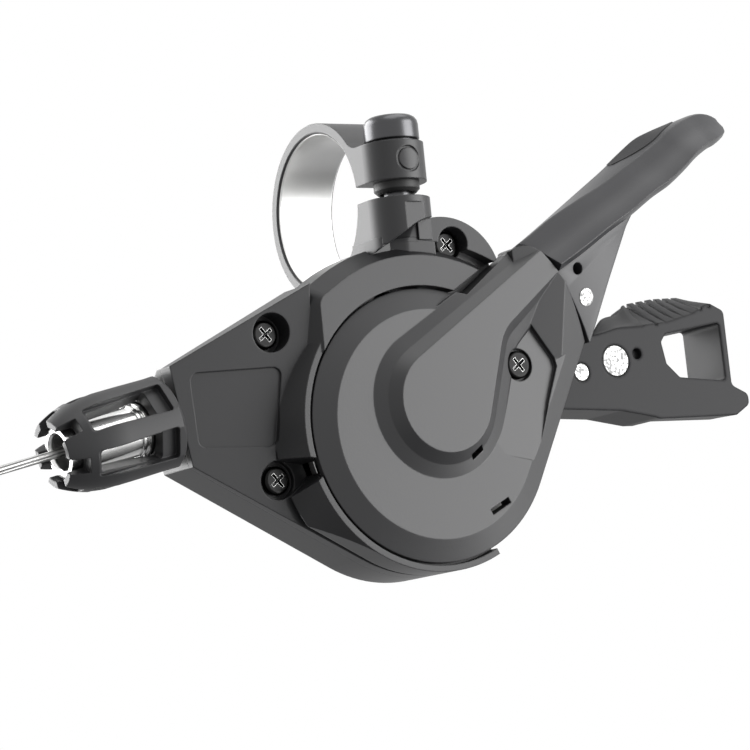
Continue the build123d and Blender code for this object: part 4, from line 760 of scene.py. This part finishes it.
def foot_skirt():
    """The foot of the lower ear, down to the crescent's bevel and to the edge of the screw boss."""
    rings = []
    for step in range(FOOT_RINGS):
        x = FOOT_START + step * FOOT_STEP
        front = min(EAR_FRONT, EAR_ROUND_H + math.sqrt(EAR_ROUND_R**2 - x * x))
        border = BOSS_LEFT[1] + (x - BOSS_LEFT[0]) / BOSS_LEFT_RUN
        below = underside(x, min(front - FOOT_INSET, FOOT_UNDERCUT), FOOT_BACK)
        below[:2] = [(x, y, max(z, border)) for x, y, z in below[:2]]
        edge = below[0][2] + FOOT_LIP
        rings.append([(x, -FOOT_BACK, FOOT_TOP), (x, -front, FOOT_TOP), (x, -front, edge), *below])
    return skin("skirt_shell", rings)


def bore_plug():
    """The end of the bolt's bore, cut level with the screw boss."""
    plug = lathe("plug_shell", PLUG_PROFILE, 0.0, BOLT_Y)
    trimmed(plug, *FLANK_PLANE)
    trimmed(plug, *FACE_PLANE)
    return plug


def boss_back():
    """The casting behind the screw boss."""
    rings = []
    for step in range(BOSS_RINGS):
        x = BOSS_START + step * BOSS_STEP
        flank = BOSS_FLANK_H + (x - BOSS_LEFT[0]) * BOSS_FLANK_SLOPE
        face = BOSS_FACE_H + BOSS_FACE_SLOPE * (x - BOSS_RIGHT_X)
        front = min(flank, face)
        high = rim_height(x, BOSS_TOP_R)
        rings.append([(x, -BOSS_BACK, high), (x, -front, high), *underside(x, front, BOSS_BACK)])
    return skin("boss_shell", rings)


def ear_foot(finish):
    """What the lower ear has below the band's own casting, in one piece."""
    joined("ear_foot", [foot_skirt(), bore_plug(), boss_back()], finish)


# Stage


def camera():
    """The photograph's camera."""
    data = bpy.data.cameras.new("camera")
    data.sensor_width = SENSOR_MM
    data.lens = CAM_FOCAL_PX / CAM_IMAGE_PX * SENSOR_MM
    data.clip_start = CLIP_NEAR
    data.clip_end = CLIP_FAR
    obj = bpy.data.objects.new("camera", data)
    bpy.context.scene.collection.objects.link(obj)
    right = CAM_RIGHT.normalized()
    back = right.cross(CAM_UP).normalized()
    up = back.cross(right)
    place = CAM_SHIFT_RIGHT * right + CAM_SHIFT_UP * up + CAM_DISTANCE * back
    turn = Matrix((right, up, back)).transposed()
    obj.matrix_world = Matrix.Translation(place) @ turn.to_4x4()
    bpy.context.scene.camera = obj


def softbox(name, direction, distance, width, height, power):
    """A soft light in a direction given in the camera's axes: right, up and back."""
    data = bpy.data.lights.new(name, "AREA")
    data.shape = "RECTANGLE"
    data.size = width
    data.size_y = height
    data.energy = power
    obj = bpy.data.objects.new(name, data)
    bpy.context.scene.collection.objects.link(obj)
    right, up, back = direction
    way = (CAM_RIGHT * right + CAM_UP * up + CAM_BACK * back).normalized()
    obj.location = LOOK_AT + way * distance
    obj.rotation_mode = "QUATERNION"
    obj.rotation_quaternion = way.to_track_quat("Z", "Y")


def white_when_seen(nodes, links, seen, unseen):
    """One colour to the camera and in mirrors, though not from below, and another to all else."""
    path = nodes.new("ShaderNodeLightPath")
    mix = nodes.new("ShaderNodeMixRGB")
    mix.inputs["Color1"].default_value = (*unseen, 1.0)
    mix.inputs["Color2"].default_value = (*seen, 1.0)
    shown = nodes.new("ShaderNodeMath")
    shown.operation = "MAXIMUM"
    links.new(path.outputs["Is Camera Ray"], shown.inputs[0])
    place = nodes.new("ShaderNodeTexCoord")
    split = nodes.new("ShaderNodeSeparateXYZ")
    links.new(place.outputs["Generated"], split.inputs["Vector"])
    above = nodes.new("ShaderNodeMapRange")
    above.inputs["From Min"].default_value = DARK_BELOW
    above.inputs["From Max"].default_value = WHITE_ABOVE
    links.new(split.outputs["Z"], above.inputs["Value"])
    mirrored = nodes.new("ShaderNodeMath")
    mirrored.operation = "MULTIPLY"
    links.new(path.outputs["Is Glossy Ray"], mirrored.inputs[0])
    links.new(above.outputs["Result"], mirrored.inputs[1])
    links.new(mirrored.outputs["Value"], shown.inputs[1])
    links.new(shown.outputs["Value"], mix.inputs["Fac"])
    return mix


def backdrop():
    """The white world that is seen, which lights the object as a grey one."""
    world = bpy.data.worlds.new("world")
    bpy.context.scene.world = world
    world.use_nodes = True
    nodes = world.node_tree.nodes
    links = world.node_tree.links
    back = next(n for n in nodes if n.type == "BACKGROUND")
    mix = white_when_seen(nodes, links, WHITE, WORLD_GREY)
    links.new(mix.outputs["Color"], back.inputs["Color"])
    back.inputs["Strength"].default_value = 1.0


def lights():
    """Soft light from both sides, and a little from the top."""
    softbox("left_box", (-0.90, 0.05, -0.45), distance=0.45, width=0.42, height=0.6, power=6.0)
    softbox("right_box", (0.96, 0.15, 0.22), distance=0.5, width=0.40, height=0.6, power=5.0)
    softbox("top_box", (0.1, 0.98, 0.0), distance=0.5, width=0.6, height=0.35, power=1.6)


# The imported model, and its finishes: colour, roughness and the rest

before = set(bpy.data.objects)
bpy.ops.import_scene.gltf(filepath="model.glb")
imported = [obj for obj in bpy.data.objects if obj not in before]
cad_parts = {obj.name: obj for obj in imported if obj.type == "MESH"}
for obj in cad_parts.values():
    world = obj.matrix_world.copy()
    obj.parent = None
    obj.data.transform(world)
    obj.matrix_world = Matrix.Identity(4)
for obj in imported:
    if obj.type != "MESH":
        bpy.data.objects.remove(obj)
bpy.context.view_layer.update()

case_black = plain("case_black", (0.018, 0.018, 0.019), 0.42, specular=0.34, grain=0.12, scale=2600.0)
cover_black = plain("cover_black", (0.022, 0.022, 0.023), 0.40, specular=0.42, grain=0.12, scale=2600.0)
lever_grey = plain("lever_grey", (0.026, 0.026, 0.028), 0.38, specular=0.40, grain=0.10, scale=2200.0)
lever_black = plain(
    "lever_black", (0.017, 0.017, 0.018), 0.50, specular=0.16, grain=0.15, scale=2200.0, edge=0.7
)
knob_grey = plain("knob_grey", (0.024, 0.024, 0.025), 0.45, specular=0.35, grain=0.15, scale=2200.0)
band_grey = plain("band_grey", (0.027, 0.027, 0.028), 0.42, specular=0.36, grain=0.12, scale=2400.0)
bored(band_grey, BARE_R, (0.80, 0.80, 0.79), 0.34)
bolt_dark = plain("bolt_dark", (0.075, 0.075, 0.078), 0.30, metallic=1.0, grain=0.05, edge=0.3)
pad_rubber = plain("pad_rubber", (0.014, 0.014, 0.015), 0.6, specular=0.25, grain=0.5, scale=4000.0)
dark_plastic = plain("dark_plastic", (0.018, 0.018, 0.018), 0.5, specular=0.3)
# The screws' bright edges are a painted highlight
screw_black = edge_highlighted("screw_black", (0.012, 0.012, 0.012), (0.85, 0.85, 0.84), 0.30)
rivet_steel = mottled("rivet_steel", (0.18, 0.18, 0.18), (0.38, 0.38, 0.375), 0.42, 2600.0)
steel = plain("steel", (0.60, 0.60, 0.59), 0.28, metallic=1.0, grain=0.12, scale=900.0)
dark_steel = plain("dark_steel", (0.12, 0.12, 0.12), 0.35, metallic=1.0, grain=0.12, scale=900.0)
brass = plain("brass", (0.6, 0.45, 0.22), 0.3, metallic=1.0)
tube_bright = plain("tube_bright", (0.82, 0.82, 0.81), 0.22, metallic=1.0, grain=0.08)
cable_steel = stranded("cable_steel", (0.10, 0.10, 0.10), (0.55, 0.55, 0.54), 0.32, turns=260, strands=6)

dress(
    {
        "clamp_band": band_grey,
        "bolt_retainer": dark_plastic,
        "bracket_screw": screw_black,
        "front_case": case_black,
        "rear_case": case_black,
        "case_screws": screw_black,
        "cable_port_plug": dark_plastic,
        "lever_cover": cover_black,
        "cover_screw": screw_black,
        "main_lever_arm": dark_steel,
        "lever_bush": brass,
        "release_lever": lever_black,
        "release_lever_arm": steel,
        "release_rivets": rivet_steel,
        "release_pivot": steel,
        "base_plate": steel,
        "main_axle": steel,
        "axle_nut": steel,
        "cable_drum": dark_plastic,
        "cable_nipple": steel,
        "ratchet_wheel": steel,
        "holding_pawl": steel,
        "holding_pawl_pin": steel,
        "drive_pawl": steel,
        "drive_pawl_pin": steel,
        "drum_spring": steel,
        "lever_spring": steel,
        "release_spring": steel,
        "adjuster_insert": dark_steel,
        "adjuster_bolt": tube_bright,
        "adjuster_knob": knob_grey,
        "cable_tie": dark_plastic,
    }
)

# The pieces that stand for solids or are added to them, then the stage

make_cable(cable_steel)
main_lever(lever_grey, rivet_steel, pad_rubber)
pad_root(lever_black)
clamp_bolt(bolt_dark)
ear_foot(band_grey)
camera()
backdrop()
lights()

bpy.context.scene.view_settings.view_transform = "Standard"
